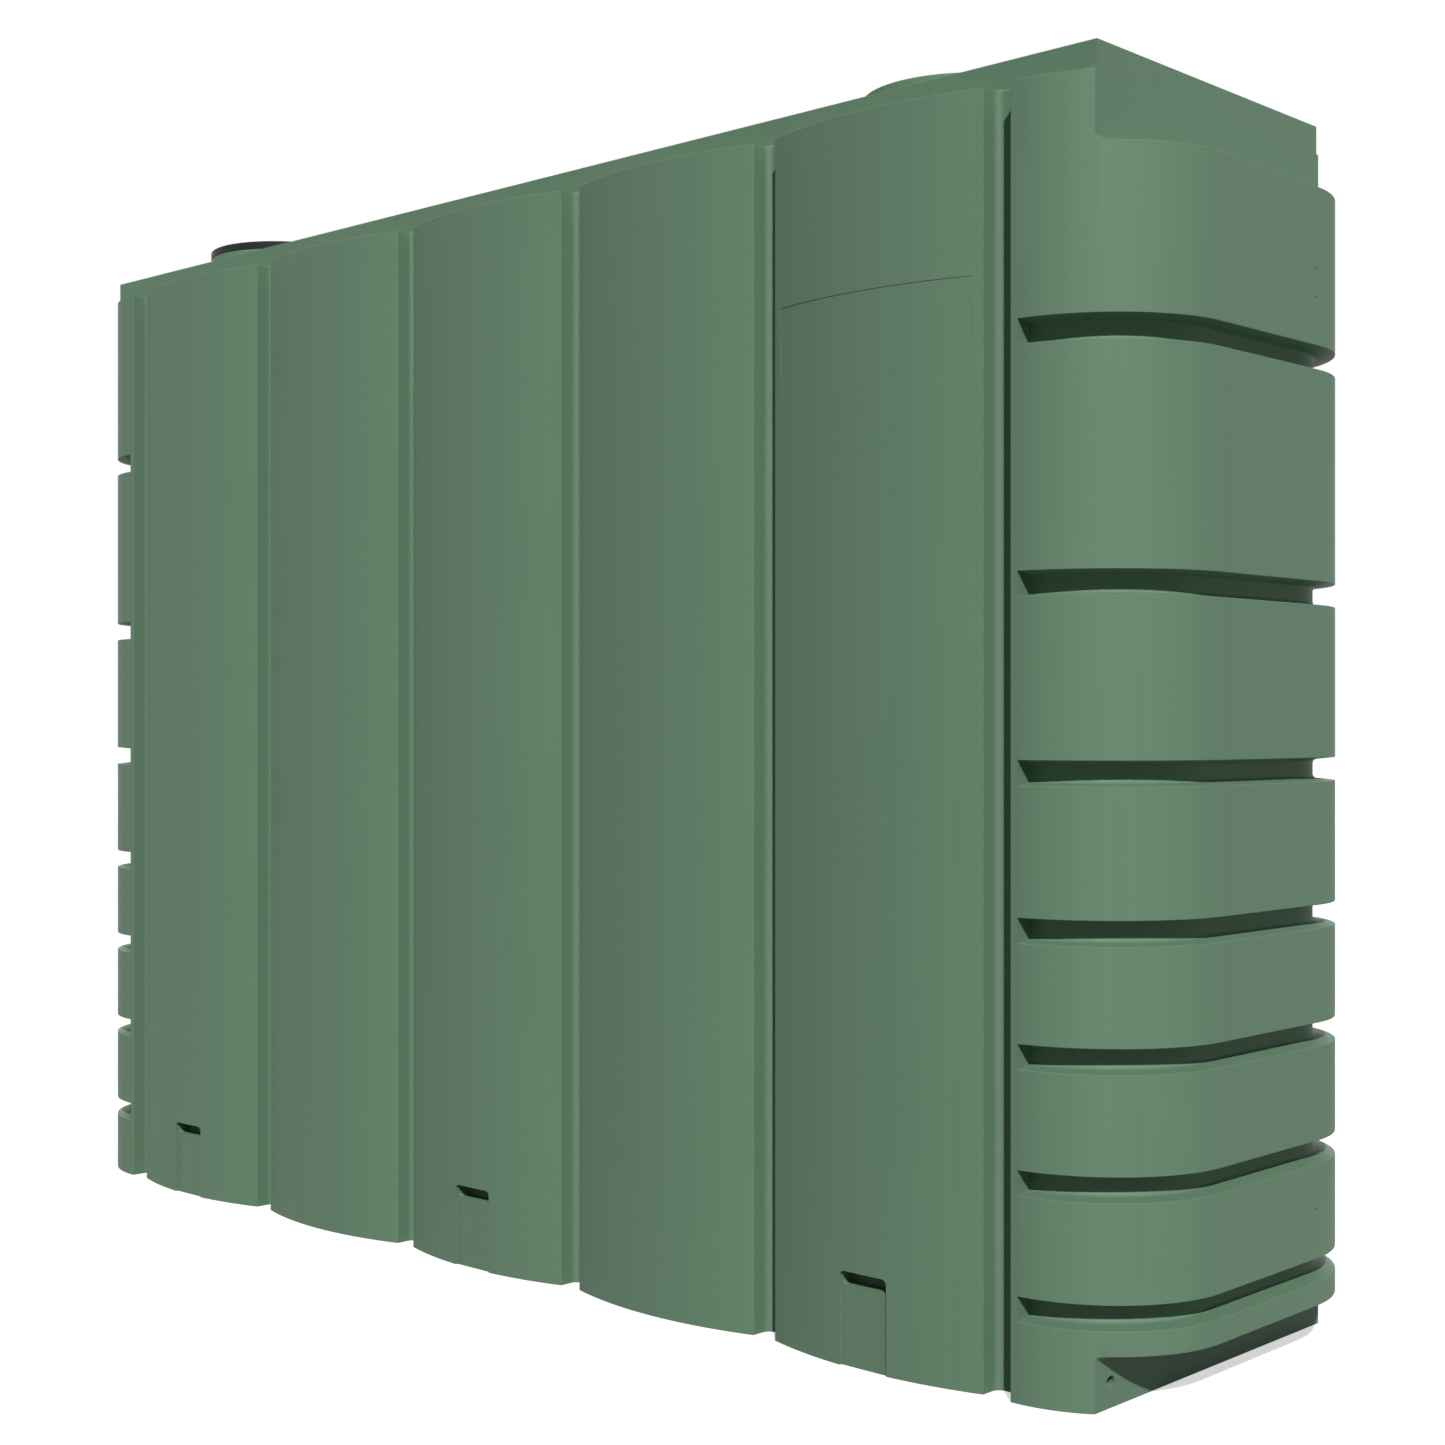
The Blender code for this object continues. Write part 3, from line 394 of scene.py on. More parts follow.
def combine(piece, other, operation):
    """Joins another closed surface to a piece, or takes it away, and removes the other."""
    modifier = piece.modifiers.new("combine", "BOOLEAN")
    modifier.solver = "MANIFOLD"
    modifier.operation = operation
    modifier.object = other
    bpy.context.view_layer.update()
    mesh = bpy.data.meshes.new_from_object(piece.evaluated_get(bpy.context.evaluated_depsgraph_get()))
    piece.modifiers.remove(modifier)
    piece.data = mesh
    bpy.data.objects.remove(other)
    return piece


def joined(pieces):
    """Separate closed surfaces in one mesh, kept in the first one's object."""
    work = bmesh.new()
    for piece in pieces:
        work.from_mesh(piece.data)
    work.to_mesh(pieces[0].data)
    work.free()
    for piece in pieces[1:]:
        bpy.data.objects.remove(piece)
    return pieces[0]


def centre_of(node):
    """The middle of a CAD node's box in plan, and its heights."""
    low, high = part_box(node)
    return (low.x + high.x) / 2, (low.y + high.y) / 2, low.z, high.z


# The two collars with the lid's ledge, then the pockets, the drain sockets, the inserts' seats
# and the bare field. What cuts or joins the shell runs past its surface by the overshoot.
INLET = Matrix.Translation((*centre_of("strainer_frame")[:2], 0))
ACCESS = Matrix.Translation((*centre_of("access_lid")[:2], 0))
NECK_RADIUS, NECK_TOP, NECK_FOOT, NECK_LIP = 0.187, 2.2235, 0.010, 0.002
NECK_BORE = NECK_RADIUS - WALL
NECK_STEPS, SOCKET_STEPS, SEAT_STEPS = 128, 32, 24
LEDGE_TOP, LEDGE_WIDTH, LEDGE_THICKNESS = 2.1975, 0.024, 0.008
POCKET_WIDTH, POCKET_HEIGHT, POCKET_DEPTH, POCKET_RADIUS = 0.100, 0.160, 0.007, 0.010
POCKET_CENTRES = (-1.0, 0.0, 1.0)
SLOT_HEIGHT, SLOT_DEPTH, SLOT_MARGIN, SLOT_FOOT = 0.025, 0.030, 0.001, 0.007
SOCKET_RADIUS, SOCKET_DEPTH, SOCKET_Y, SOCKET_Z = 0.01225, 0.030, -0.3135, 0.039
INSERT_SEAT, INSERT_BORE, INSERT_SKIN, INSERT_LENGTH, SEAT_GAP = 0.0068, 0.0034, 0.002, 0.020, 0.0003
INSERT_NAMES = [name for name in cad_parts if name.startswith("wall_tie_insert")]
END_FACE = CORNER_X + CORNER_RADIUS
FIELD_HALF_WIDTH, FIELD_LOW, FIELD_HIGH, FIELD_DEPTH, FIELD_STEPS = 0.205, 1.640, 1.800, 0.0009, 32
OVERSHOOT = 0.020


def out_of_end(x, y, z):
    """Places a turned shape so that its own +Z points out of the tank's end at that point."""
    return Matrix.Translation((x, y, z)) @ Matrix.Rotation(math.copysign(math.pi / 2, x), 4, "Y")


def collar_section():
    """Half section of a solid collar: a hollow fillet at its foot and a rounded lip."""
    sunk = DECK - WALL / 2
    foot = arc(NECK_RADIUS + NECK_FOOT, DECK + NECK_FOOT, NECK_FOOT, -90, -180, steps=5)
    lip = arc(NECK_RADIUS - NECK_LIP, NECK_TOP - NECK_LIP, NECK_LIP, 0, 90, steps=3)
    return [(0, sunk), (NECK_RADIUS + NECK_FOOT, sunk)] + foot + lip + [(0, NECK_TOP)]


def bore_section(has_ledge):
    """Half section of the bore through a collar, narrowed where the lid's ledge stands in it."""
    low, high = DECK - WALL - OVERSHOOT, NECK_TOP + OVERSHOOT
    section = [(0, low), (NECK_BORE, low)]
    if has_ledge:
        inner, under = NECK_BORE - LEDGE_WIDTH, LEDGE_TOP - LEDGE_THICKNESS
        section += [(NECK_BORE, under), (inner, under)]
        section += arc(inner + NECK_LIP, LEDGE_TOP - NECK_LIP, NECK_LIP, 180, 90, steps=3)
        section += [(NECK_BORE, LEDGE_TOP)]
    return section + [(NECK_BORE, high), (0, high)]


def pockets(grown):
    """The tie-down recess and the deeper slot at its top, on every second panel, both sides."""
    face = PANEL_FRONT - POCKET_DEPTH - grown
    slot_low, slot_high = POCKET_HEIGHT - SLOT_HEIGHT - grown, POCKET_HEIGHT - SLOT_MARGIN + grown
    slot_width = POCKET_WIDTH + 2 * (grown - SLOT_MARGIN)
    slot_radius = POCKET_RADIUS - SLOT_MARGIN + grown
    recess = rounded_box(POCKET_WIDTH + 2 * grown, -OVERSHOOT, POCKET_HEIGHT + grown, POCKET_RADIUS + grown)
    slot = rounded_box(slot_width, slot_low, slot_high, slot_radius, SLOT_FOOT + grown)
    shapes = []
    for centre in POCKET_CENTRES:
        for turn in (0, math.pi):
            upright = Matrix.Translation((centre, 0, 0)) @ Matrix.Rotation(math.pi / 2, 4, "X")
            place = Matrix.Rotation(turn, 4, "Z") @ upright
            shape = prism("recess", recess, face, PANEL_FRONT + OVERSHOOT, place)
            inner = prism("slot", slot, face - SLOT_DEPTH, face + SLOT_MARGIN, place)
            shapes.append(combine(shape, inner, "UNION"))
    return joined(shapes)


def end_holes(socket, seat):
    """The drain sockets and the wall ties' insert seats, from their half sections."""
    places = [out_of_end(x, SOCKET_Y, SOCKET_Z) for x in (-HALF_LENGTH, HALF_LENGTH)]
    shapes = [turned("socket", socket, SOCKET_STEPS, place) for place in places]
    for node in INSERT_NAMES:
        x, y, low, high = centre_of(node)
        place = out_of_end(math.copysign(END_FACE, x), y, (low + high) / 2)
        shapes.append(turned("seat", seat, SEAT_STEPS, place))
    return joined(shapes)


def name_field():
    """A bare field in the fifth panel's face: a slab between two arcs that share its centre."""
    lean = math.asin(FIELD_HALF_WIDTH / PANEL_RADIUS)
    leans = np.linspace(-lean, lean, FIELD_STEPS + 1)
    way = np.stack([np.sin(leans), -np.cos(leans)], 1)
    outer, inner = (PANEL_RADIUS + OVERSHOOT) * way, (PANEL_RADIUS - FIELD_DEPTH) * way[::-1]
    outline = np.concatenate([outer, inner]) + [PANEL_CENTRES[-1], PANEL_RADIUS - PANEL_FRONT]
    return prism("name_field", outline, FIELD_LOW, FIELD_HIGH)


insert_end = -INSERT_SKIN - INSERT_LENGTH - 2 * SEAT_GAP
seat_section = [(0, insert_end), (INSERT_SEAT, insert_end), (INSERT_SEAT, -INSERT_SKIN)]
seat_section += [(INSERT_BORE, -INSERT_SKIN), (INSERT_BORE, OVERSHOOT), (0, OVERSHOOT)]
boss = INSERT_SEAT + WALL
boss_section = [(0, insert_end - WALL), (boss, insert_end - WALL), (boss, OVERSHOOT), (0, OVERSHOOT)]
socket_section = [(0, -SOCKET_DEPTH), (SOCKET_RADIUS, -SOCKET_DEPTH)]
socket_section += [(SOCKET_RADIUS, OVERSHOOT), (0, OVERSHOOT)]
lining, lining_end = SOCKET_RADIUS + WALL, -SOCKET_DEPTH - WALL
lining_section = [(0, lining_end), (lining, lining_end), (lining, OVERSHOOT), (0, OVERSHOOT)]

tank = tank_skin("tank_shell", 0.0, True)
hollow = tank_skin("hollow", WALL, False)
for label, place, has_ledge in (("inlet", INLET, False), ("access", ACCESS, True)):
    combine(tank, turned(label + "_collar", collar_section(), NECK_STEPS, place), "UNION")
    combine(hollow, turned(label + "_bore", bore_section(has_ledge), NECK_STEPS, place), "UNION")
combine(hollow, pockets(WALL), "DIFFERENCE")
combine(hollow, end_holes(lining_section, boss_section), "DIFFERENCE")
combine(tank, hollow, "DIFFERENCE")
combine(tank, pockets(0.0), "DIFFERENCE")
combine(tank, end_holes(socket_section, seat_section), "DIFFERENCE")
combine(tank, name_field(), "DIFFERENCE")


SLIVER_WIDTH, SHARP_ANGLE = 0.00001, math.radians(35)


def without_slivers(piece):
    """Dissolves the faces with no width that the cuts leave where two edges nearly meet."""
    work = bmesh.new()
    work.from_mesh(piece.data)
    bmesh.ops.dissolve_degenerate(work, edges=work.edges, dist=SLIVER_WIDTH)
    bmesh.ops.triangulate(work, faces=[face for face in work.faces if len(face.verts) > 4])
    work.to_mesh(piece.data)
    work.free()


def shade(piece, finish):
    """Smooths a piece but for its sharp edges, evens its shading and gives it its finish."""
    without_slivers(piece)
    mesh = piece.data
    mesh.materials.clear()
    mesh.materials.append(finish)
    mesh.polygons.foreach_set("material_index", np.zeros(len(mesh.polygons), np.int32))
    mesh.polygons.foreach_set("use_smooth", np.full(len(mesh.polygons), True))
    mesh.set_sharp_from_angle(angle=SHARP_ANGLE)
    evened = piece.modifiers.new("even_shading", "WEIGHTED_NORMAL")
    evened.keep_sharp = True
    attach(piece, "root")
    return piece


NOISE_LOW, NOISE_HIGH = 0.3, 0.7


def noise(tree, where, size, detail=2.0, stretch=(1, 1, 1)):
    """A noise of patches of that size in metres, longer along the axes that are stretched."""
    scale = [1 / (size * factor) for factor in stretch]
    mapped = add_node(tree, "ShaderNodeMapping", {"Vector": where, "Scale": scale}).outputs[0]
    settings = {"Vector": mapped, "Scale": 1.0, "Detail": detail}
    return add_node(tree, "ShaderNodeTexNoise", settings).outputs[0]


def spread(tree, value, low, high):
    """Maps the middle range of a noise, where most of it lies, to a range of values."""
    limits = {"Value": value, "From Min": NOISE_LOW, "From Max": NOISE_HIGH, "To Min": low, "To Max": high}
    return add_node(tree, "ShaderNodeMapRange", limits).outputs[0]


def moulded_polyethylene():
    """Green polyethylene as it comes from a blasted steel mould.

    Upright drifts and soft patches of the pigment keep large faces from looking flat, and a
    fine shallow grain breaks up the gloss as the mould's skin does. The blasted skin takes half
    of the gloss away, so faces seen at a flat angle keep their green.
    """
    finish, tree = new_material("moulded_polyethylene")
    where = add_node(tree, "ShaderNodeTexCoord").outputs["Object"]
    streaks = noise(tree, where, 0.016, detail=1.0, stretch=(1, 1, 200))
    patches = noise(tree, where, 0.35, detail=3.0)
    sum_of_both = add_node(tree, "ShaderNodeMath", {0: streaks, 1: patches}, operation="ADD").outputs[0]
    average = add_node(tree, "ShaderNodeMath", {0: sum_of_both, 1: 0.5}, operation="MULTIPLY").outputs[0]
    tones = {0: spread(tree, average, 0.0, 1.0), 6: linear("#65866f"), 7: linear("#6a8a73")}
    colour = add_node(tree, "ShaderNodeMix", tones, data_type="RGBA").outputs[2]
    grain = {"Strength": 0.25, "Distance": 0.0001, "Height": noise(tree, where, 0.0016)}
    grained = add_node(tree, "ShaderNodeBump", grain).outputs[0]
    ripple = {"Strength": 0.2, "Distance": 0.0006, "Height": noise(tree, where, 0.06, detail=1.0)}
    ripple["Normal"] = grained
    bump = add_node(tree, "ShaderNodeBump", ripple).outputs[0]
    inputs = {"Base Color": colour, "Normal": bump, "IOR": 1.5, "Specular IOR Level": 0.25}
    inputs["Roughness"] = spread(tree, patches, 0.56, 0.62)
    shader = add_node(tree, "ShaderNodeBsdfPrincipled", inputs)
    add_node(tree, "ShaderNodeOutputMaterial", {"Surface": shader.outputs[0]})
    return finish


GREEN = moulded_polyethylene()


# Lid screws: six stainless pan-head screws with a hexagon socket. Each goes through a clear hole
# in the lid and bites into the ledge below it, so the holes are cut here in the tank as well.
SCREW_NAMES = [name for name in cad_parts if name.startswith("lid_screw")]
SCREW_RADIUS, SCREW_CLEARANCE, HEAD_RADIUS, HEAD_HEIGHT, HEAD_CROWN = 0.0022, 0.0004, 0.0045, 0.003, 0.0022
SCREW_POINT = 1.4 * SCREW_RADIUS
HEX_RADIUS, HEX_DEPTH, HEX_SIDES = 0.0015, 0.0016, 6
SCREW_STEPS, HOLE_STEPS = 32, 16
hole = SCREW_RADIUS + SCREW_CLEARANCE
hole_low = LEDGE_TOP - OVERSHOOT
hole_section = [(0, hole_low), (hole, hole_low), (hole, NECK_TOP), (0, NECK_TOP)]


def stainless_steel():
    """Drawn and rolled stainless steel: its fine grain spreads the gloss, so it looks soft."""
    finish, tree = new_material("stainless_steel")
    where = add_node(tree, "ShaderNodeTexCoord").outputs["Object"]
    inputs = {"Base Color": linear("#bfc2c1"), "Metallic": 1.0}
    inputs["Roughness"] = spread(tree, noise(tree, where, 0.0015, detail=3.0), 0.27, 0.38)
    shader = add_node(tree, "ShaderNodeBsdfPrincipled", inputs)
    add_node(tree, "ShaderNodeOutputMaterial", {"Surface": shader.outputs[0]})
    return finish


def screw_section(seat, tip):
    """Half section of a screw with a domed head, a shank and a pointed end."""
    top, point = seat + HEAD_HEIGHT, tip + SCREW_POINT
    section = [(0, tip), (SCREW_RADIUS, point), (SCREW_RADIUS, seat), (HEAD_RADIUS, seat)]
    return section + arc(HEAD_RADIUS - HEAD_CROWN, top - HEAD_CROWN, HEAD_CROWN, 0, 90) + [(0, top)]


STEEL = stainless_steel()
turns = np.arange(HEX_SIDES) * math.tau / HEX_SIDES
hexagon = HEX_RADIUS * np.stack([np.cos(turns), np.sin(turns)], 1)
for node in SCREW_NAMES:
    x, y, tip, top = centre_of(node)
    place = Matrix.Translation((x, y, 0))
    screw = turned(node + "_threaded", screw_section(top - HEAD_HEIGHT, tip), SCREW_STEPS, place)
    combine(screw, prism("hexagon", hexagon, top - HEX_DEPTH, top + OVERSHOOT, place), "DIFFERENCE")
    shade(screw, STEEL)
    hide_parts(node)
    combine(tank, turned("ledge_hole", hole_section, HOLE_STEPS, place), "DIFFERENCE")
shade(tank, GREEN)
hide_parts("tank_body")


# Access lid: a round green moulding that drops onto the seal. A raised rim and six ribs that run
# to a hub stiffen the plate, and a screw goes through it between each two ribs.
LID_PLATE, LID_RIM_HEIGHT, LID_RIM_WIDTH, LID_EASE = 0.006, 0.014, 0.005, 0.0012
LID_RIBS, LID_RIB_WIDTH, LID_RIB_HEIGHT, LID_HUB, HUB_STEP = 6, 0.008, 0.006, 0.030, 0.001
LID_HUB_STEPS = 64
CLEARANCE = 0.0015
LID_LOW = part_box("access_lid")[0].z
LID_HIGH = LID_LOW + LID_PLATE
LID_EDGE = NECK_BORE - CLEARANCE
UPRIGHT = Matrix.Rotation(math.pi / 2, 4, "Z") @ Matrix.Rotation(math.pi / 2, 4, "X")


def lid_section():
    """Half section of the lid: a plate with an eased foot, and a rounded rim round it."""
    rim_top, inner, ease = LID_LOW + LID_RIM_HEIGHT, LID_EDGE - LID_RIM_WIDTH, LID_EASE
    section = [(0, LID_LOW)] + arc(LID_EDGE - ease, LID_LOW + ease, ease, -90, 0)
    section += arc(LID_EDGE - ease, rim_top - ease, ease, 0, 90)
    section += arc(inner + ease, rim_top - ease, ease, 90, 180)
    return section + arc(inner - 2 * ease, LID_HIGH + 2 * ease, 2 * ease, 0, -90) + [(0, LID_HIGH)]


def hub_section(low, high, radius, ease):
    """Half section of a hub with an eased upper edge."""
    return [(0, low), (radius, low)] + arc(radius - ease, high - ease, ease, 0, 90) + [(0, high)]


lid = turned("round_lid", lid_section(), NECK_STEPS, ACCESS)
rib_low, rib_high = LID_LOW + LID_PLATE / 2, LID_HIGH + LID_RIB_HEIGHT
lid_hub_shape = hub_section(rib_low - HUB_STEP, rib_high + HUB_STEP, LID_HUB, LID_EASE)
combine(lid, turned("lid_hub", lid_hub_shape, LID_HUB_STEPS, ACCESS), "UNION")
rib = rounded_box(LID_RIB_WIDTH, rib_low, rib_high, LID_EASE)
for index in range(LID_RIBS):
    place = ACCESS @ Matrix.Rotation(math.tau * index / LID_RIBS, 4, "Z") @ UPRIGHT
    combine(lid, prism("rib", rib, LID_HUB / 2, LID_EDGE - LID_RIM_WIDTH / 2, place), "UNION")
for node in SCREW_NAMES:
    place = Matrix.Translation((*centre_of(node)[:2], 0))
    combine(lid, turned("lid_hole", hole_section, HOLE_STEPS, place), "DIFFERENCE")
shade(lid, GREEN)
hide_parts("access_lid")


# Lid seal: a flat ring of black rubber on the ledge in the access collar, squeezed under the
# lid. Its upper corners are rounded, as a moulded ring's are.
SEAL_INNER, SEAL_EASE = NECK_BORE - LEDGE_WIDTH + CLEARANCE, 0.001


def seal_section():
    """Half section of the seal, between the heights of the CAD ring and out to its edge."""
    low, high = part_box("lid_seal")
    outer = (high.x - low.x) / 2
    section = [(SEAL_INNER, low.z), (outer, low.z)]
    section += arc(outer - SEAL_EASE, high.z - SEAL_EASE, SEAL_EASE, 0, 90)
    return section + arc(SEAL_INNER + SEAL_EASE, high.z - SEAL_EASE, SEAL_EASE, 90, 180)


def black_rubber():
    """Black rubber: dull, with a dusty bloom that greys it in patches."""
    finish, tree = new_material("black_rubber")
    where = add_node(tree, "ShaderNodeTexCoord").outputs["Object"]
    bloom = spread(tree, noise(tree, where, 0.01, detail=3.0), 0.0, 1.0)
    tones = {0: bloom, 6: linear("#191a1a"), 7: linear("#262726")}
    colour = add_node(tree, "ShaderNodeMix", tones, data_type="RGBA").outputs[2]
    inputs = {"Base Color": colour, "Roughness": 0.78, "IOR": 1.52}
    shader = add_node(tree, "ShaderNodeBsdfPrincipled", inputs)
    add_node(tree, "ShaderNodeOutputMaterial", {"Surface": shader.outputs[0]})
    return finish


seal = turned("seal_ring", seal_section(), NECK_STEPS, ACCESS)
shade(seal, black_rubber())
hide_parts("lid_seal")


# Strainer frame: one black polypropylene moulding, dropped into the inlet collar. Its rim rests
# on the collar's lip, and eight windows in the tapered basket leave posts that hold the mesh.
RIM_HEIGHT, RIM_EDGE, FRAME_WALL = 0.018, 0.002, 0.003
BASKET_DEPTH, BASKET_FOOT, BASKET_LEDGE = 0.100, 0.150, 0.012
WINDOW_COUNT, WINDOW_WIDTH, WINDOW_HEIGHT, WINDOW_LIFT, WINDOW_CORNER = 8, 0.092, 0.052, 0.012, 0.006
SPOKE_WIDTH, SPOKE_HEIGHT, SPOKE_EASE, BASKET_HUB = 0.008, 0.006, 0.0015, 0.020
BASKET_HUB_STEPS = 48
BASKET_FLOOR = NECK_TOP - BASKET_DEPTH
BASKET_TOP = NECK_BORE - CLEARANCE - FRAME_WALL


def frame_section():
    """Half section of the strainer's frame: a rounded rim over a tapered wall with a ledge."""
    seat = NECK_TOP + SEAT_GAP
    top, under, ledge = seat + RIM_HEIGHT, BASKET_FLOOR - FRAME_WALL, BASKET_FOOT - BASKET_LEDGE
    section = [(ledge, under), (BASKET_FOOT + FRAME_WALL, under), (NECK_BORE - CLEARANCE, seat)]
    section += arc(NECK_RADIUS - RIM_EDGE / 2, seat + RIM_EDGE / 2, RIM_EDGE / 2, -90, 0, steps=2)
    section += arc(NECK_RADIUS - RIM_EDGE, top - RIM_EDGE, RIM_EDGE, 0, 90)
    section += arc(BASKET_TOP + RIM_EDGE, top - RIM_EDGE, RIM_EDGE, 90, 180)
    return section + [(BASKET_TOP, NECK_TOP), (BASKET_FOOT, BASKET_FLOOR), (ledge, BASKET_FLOOR)]


def black_polypropylene():
    """Black polypropylene, a touch green, with a satin moulded grain that halves its gloss."""
    finish, tree = new_material("black_polypropylene")
    where = add_node(tree, "ShaderNodeTexCoord").outputs["Object"]
    grain = {"Strength": 0.3, "Distance": 0.00008, "Height": noise(tree, where, 0.0009)}
    inputs = {"Base Color": linear("#101817"), "IOR": 1.49, "Specular IOR Level": 0.25}
    inputs["Normal"] = add_node(tree, "ShaderNodeBump", grain).outputs[0]
    inputs["Roughness"] = spread(tree, noise(tree, where, 0.02), 0.48, 0.56)
    shader = add_node(tree, "ShaderNodeBsdfPrincipled", inputs)
    add_node(tree, "ShaderNodeOutputMaterial", {"Surface": shader.outputs[0]})
    return finish


strainer = turned("strainer_basket", frame_section(), NECK_STEPS, INLET)
window_low = BASKET_FLOOR + WINDOW_LIFT
window = rounded_box(WINDOW_WIDTH, window_low, window_low + WINDOW_HEIGHT, WINDOW_CORNER, WINDOW_CORNER)
spoke_high = BASKET_FLOOR - HUB_STEP
spoke_low = spoke_high - SPOKE_HEIGHT
spoke = rounded_box(SPOKE_WIDTH, spoke_low, spoke_high, SPOKE_EASE, SPOKE_EASE)
basket_hub_shape = hub_section(spoke_low - HUB_STEP, BASKET_FLOOR, BASKET_HUB, HUB_STEP)
combine(strainer, turned("basket_hub", basket_hub_shape, BASKET_HUB_STEPS, INLET), "UNION")
for index in range(WINDOW_COUNT):
    place = INLET @ Matrix.Rotation(math.tau * index / WINDOW_COUNT, 4, "Z") @ UPRIGHT
    combine(strainer, prism("window", window, 2 * BASKET_HUB, NECK_RADIUS, place), "DIFFERENCE")
    place = INLET @ Matrix.Rotation(math.tau * (index + 0.5) / WINDOW_COUNT, 4, "Z") @ UPRIGHT
    combine(strainer, prism("spoke", spoke, BASKET_HUB / 2, BASKET_FOOT - BASKET_LEDGE / 2, place), "UNION")
shade(strainer, black_polypropylene())
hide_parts("strainer_frame")


# Clamp ring: a rolled stainless hoop, pressed in over the mesh's upper edge to hold it down.
# Its inner edges are eased, because a hand goes past them when the leaves are cleared out.
CLAMP_WIDTH, CLAMP_HEIGHT, CLAMP_EASE = 0.005, 0.010, 0.0012
MESH_TOP = NECK_TOP - CLAMP_HEIGHT


def clamp_section():
    """Half section of the hoop: a leaning bar with rounded inner corners."""
    low, high = MESH_TOP + SEAT_GAP, NECK_TOP - SEAT_GAP
    outer_high = BASKET_TOP - 2 * SEAT_GAP
    outer_low = outer_high - (BASKET_TOP - BASKET_FOOT) * CLAMP_HEIGHT / BASKET_DEPTH
    inner_low, inner_high = outer_low - CLAMP_WIDTH + CLAMP_EASE, outer_high - CLAMP_WIDTH + CLAMP_EASE
    section = [(outer_low, low), (outer_high, high)]
    section += arc(inner_high, high - CLAMP_EASE, CLAMP_EASE, 90, 180)
    return section + arc(inner_low, low + CLAMP_EASE, CLAMP_EASE, 180, 270)


clamp = turned("clamp_hoop", clamp_section(), NECK_STEPS, INLET)
shade(clamp, STEEL)
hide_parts("mesh_clamp_ring")


# Strainer mesh: a cup of plain-woven stainless wire that lies in the basket. The floor and the
# wall are woven apart, with each wire passing over and under the ones that cross it.
WIRE_PITCH, WIRE_RADIUS, WEAVE, MESH_LIFT = 0.005, 0.00045, 0.00045, 0.0012
MESH_FOOT, MESH_HEAD = BASKET_FOOT - 2 * MESH_LIFT, BASKET_TOP - 3 * MESH_LIFT
MESH_LOW = BASKET_FLOOR + MESH_LIFT
STEEP, LEVEL_GUIDE, UPRIGHT_GUIDE = 0.7, (1.0, 0.37, 0.0), (0.0, 0.0, 1.0)
SHORTEST = 1e-9


def wires(paths, thick, closed=False):
    """Four-sided wires along paths, an array of (wire, point, 3), as points and faces.

    Each ring of four points lies across the path's own direction, turned to a guide that is
    upright, or level where the path is steep. Where thick is 0 the ring shrinks to a point.
    """
    ahead, behind = np.roll(paths, -1, 1), np.roll(paths, 1, 1)
    if not closed:
        ahead[:, -1], behind[:, 0] = paths[:, -1], paths[:, 0]
    along = ahead - behind
    along /= np.maximum(np.linalg.norm(along, axis=2, keepdims=True), SHORTEST)
    up = np.where(np.abs(along[..., 2:]) > STEEP, LEVEL_GUIDE, UPRIGHT_GUIDE)
    across = np.cross(up, along)
    across /= np.maximum(np.linalg.norm(across, axis=2, keepdims=True), SHORTEST)
    over = np.cross(along, across)
    size = np.broadcast_to(thick, paths.shape[:2])[..., None] * WIRE_RADIUS
    rings = np.stack([paths + size * way for way in (across, over, -across, -over)], 2)
    count, samples = paths.shape[:2]
    index = np.arange(count * samples * 4).reshape(count, samples, 4)
    after = np.roll(index, -1, 1) if closed else index[:, 1:]
    index = index if closed else index[:, :-1]
    faces = np.stack([index, np.roll(index, -1, 2), np.roll(after, -1, 2), after], -1)
    return rings.reshape(-1, 3), faces.reshape(-1, 4)


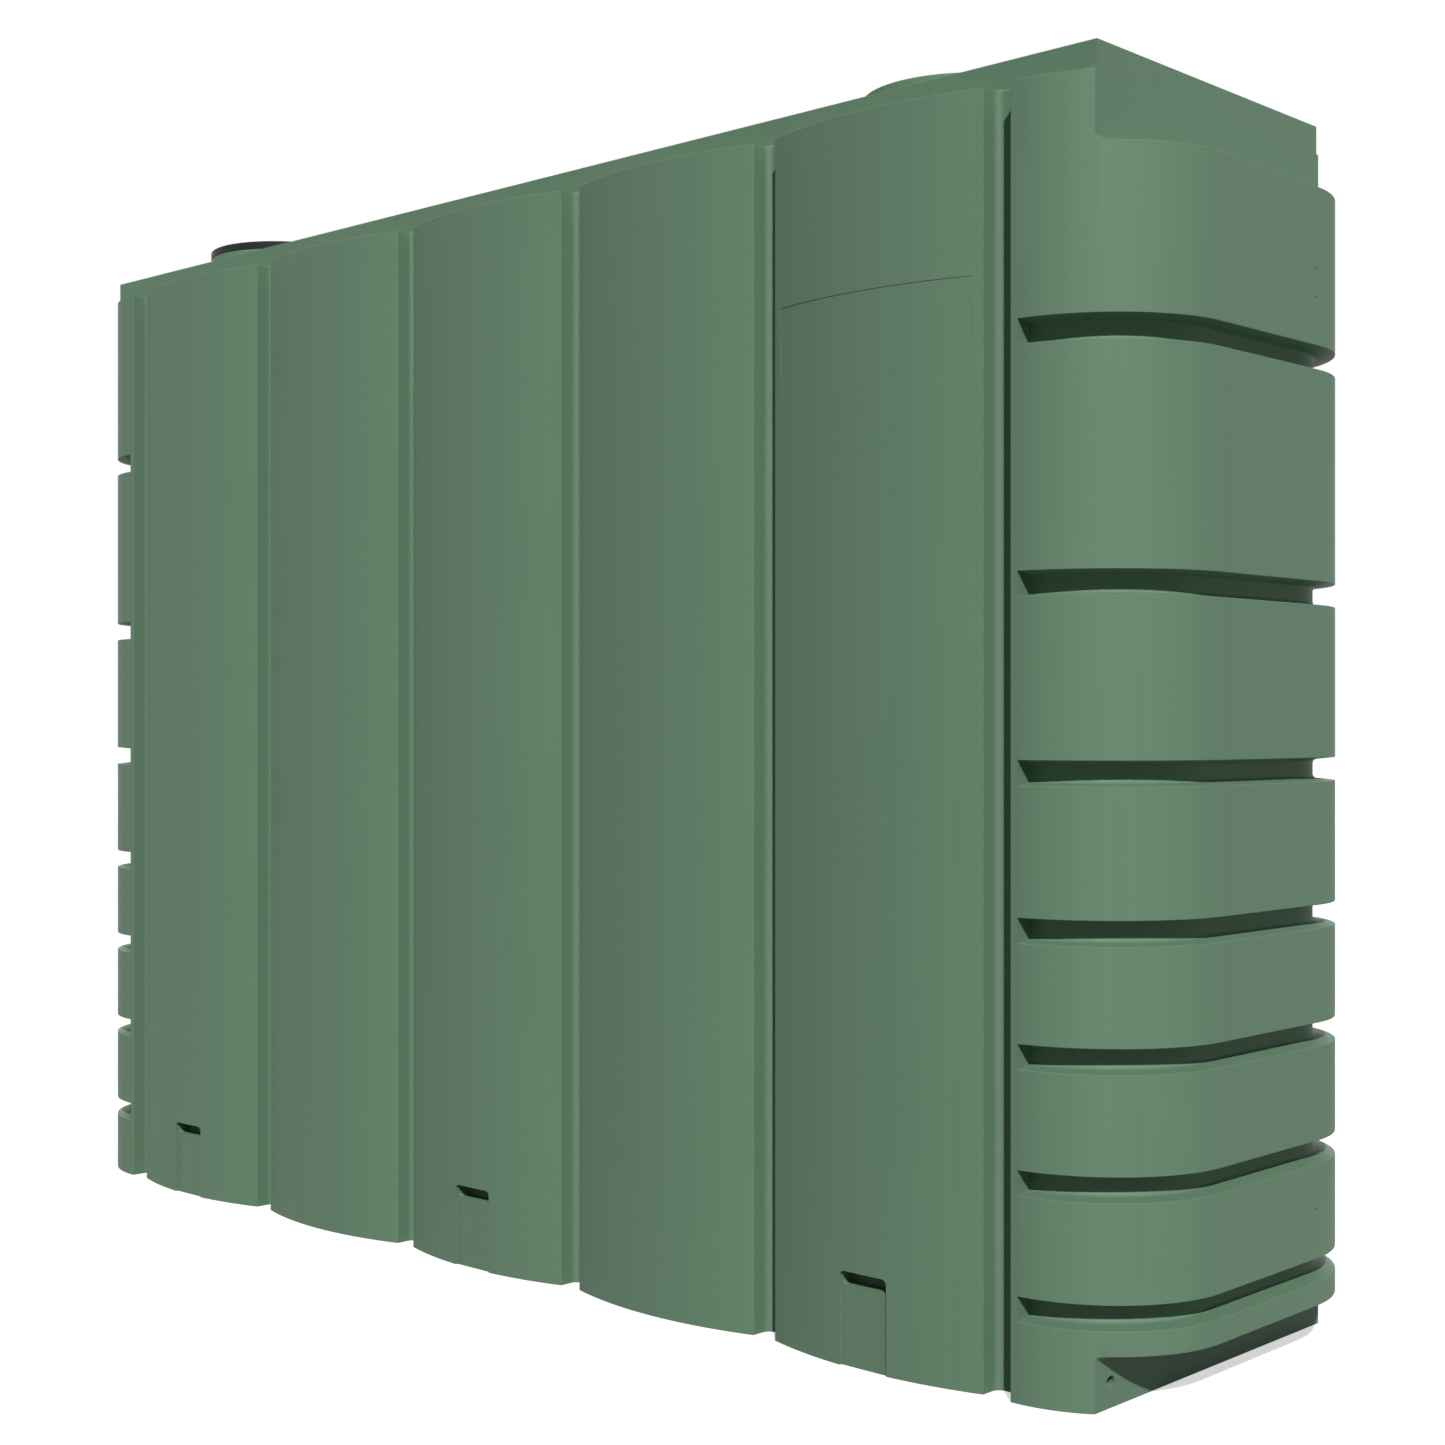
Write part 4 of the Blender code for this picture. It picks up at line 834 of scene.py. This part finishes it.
def woven_cup(name):
    """The floor as two sets of straight wires cut to a circle, the wall as posts and hoops."""
    reach = int(MESH_FOOT / WIRE_PITCH)
    lines = np.arange(-reach, reach + 1)
    row, step = np.meshgrid(lines, lines, indexing="ij")
    chord = np.sqrt(MESH_FOOT**2 - (lines * WIRE_PITCH) ** 2)[:, None]
    inside = np.abs(step * WIRE_PITCH) < chord
    along = np.clip(step * WIRE_PITCH, -chord, chord)
    across = row * WIRE_PITCH
    wave = np.where((row + step) % 2, WEAVE, -WEAVE) * inside
    sets = [wires(np.stack([along, across, MESH_LOW + wave], -1), inside)]
    sets.append(wires(np.stack([across, along, MESH_LOW - wave], -1), inside))
    rise = int((MESH_TOP - MESH_LOW) / WIRE_PITCH)
    share = np.linspace(0, 1, rise + 1)
    radius = MESH_FOOT + (MESH_HEAD - MESH_FOOT) * share
    count = 2 * int(math.pi * MESH_FOOT / WIRE_PITCH)
    post, hoop = np.meshgrid(np.arange(count), np.arange(rise + 1), indexing="ij")
    swing = post * math.tau / count
    height = MESH_LOW + (MESH_TOP - MESH_LOW) * share[hoop]
    wave = np.where((post + hoop) % 2, WEAVE, -WEAVE)
    ends = ((hoop > 0) & (hoop < rise)).astype(float)
    out = radius + wave
    sets.append(wires(np.stack([out * np.cos(swing), out * np.sin(swing), height], -1), ends))
    out = radius - wave
    hoops = np.stack([out * np.cos(swing), out * np.sin(swing), height], -1).transpose(1, 0, 2)[1:-1]
    sets.append(wires(hoops, 1.0, closed=True))
    starts = np.cumsum([0] + [len(points) for points, _ in sets[:-1]])
    points = np.concatenate([points for points, _ in sets])
    faces = np.concatenate([faces + start for (_, faces), start in zip(sets, starts)])
    return weld(add_piece(name, points, faces.tolist()))


woven = woven_cup("woven_wire_cup")
woven.data.transform(INLET)
woven.data.materials.append(STEEL)
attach(woven, "root")
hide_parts("strainer_mesh")


# Wall-tie inserts: turned brass bushes moulded into the end panels, three in each end. Collars
# with a waist between them lock each one in the plastic, and its bore takes the wall's screw.
INSERT_EASE, INSERT_GROOVE, INSERT_STEPS = 0.0004, 0.001, 32


def insert_section(length):
    """Half section of a bush: three collars with two waists between them, and a plain bore."""
    outer, ease, fifth = INSERT_SEAT - SEAT_GAP, INSERT_EASE, length / 5
    waist = outer - INSERT_GROOVE
    section = [(INSERT_BORE, -length), (outer - ease, -length), (outer, ease - length)]
    section += [(outer, -4 * fifth), (waist, -4 * fifth), (waist, -3 * fifth), (outer, -3 * fifth)]
    section += [(outer, -2 * fifth), (waist, -2 * fifth), (waist, -fifth), (outer, -fifth)]
    return section + [(outer, -ease), (outer - ease, 0), (INSERT_BORE + ease, 0), (INSERT_BORE, -ease)]


def turned_brass():
    """Machined brass: warm and bright, with the fine rings that a turning tool leaves."""
    finish, tree = new_material("turned_brass")
    where = add_node(tree, "ShaderNodeTexCoord").outputs["Object"]
    inputs = {"Base Color": linear("#c8a45c"), "Metallic": 1.0}
    rings = noise(tree, where, 0.0008, stretch=(0.25, 1, 1))
    inputs["Roughness"] = spread(tree, rings, 0.22, 0.34)
    shader = add_node(tree, "ShaderNodeBsdfPrincipled", inputs)
    add_node(tree, "ShaderNodeOutputMaterial", {"Surface": shader.outputs[0]})
    return finish


BRASS = turned_brass()
for node in INSERT_NAMES:
    low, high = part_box(node)
    face_x = high.x if high.x > 0 else low.x
    place = out_of_end(face_x, (low.y + high.y) / 2, (low.z + high.z) / 2)
    bush = turned(node + "_turned", insert_section(high.x - low.x), INSERT_STEPS, place)
    shade(bush, BRASS)
    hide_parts(node)
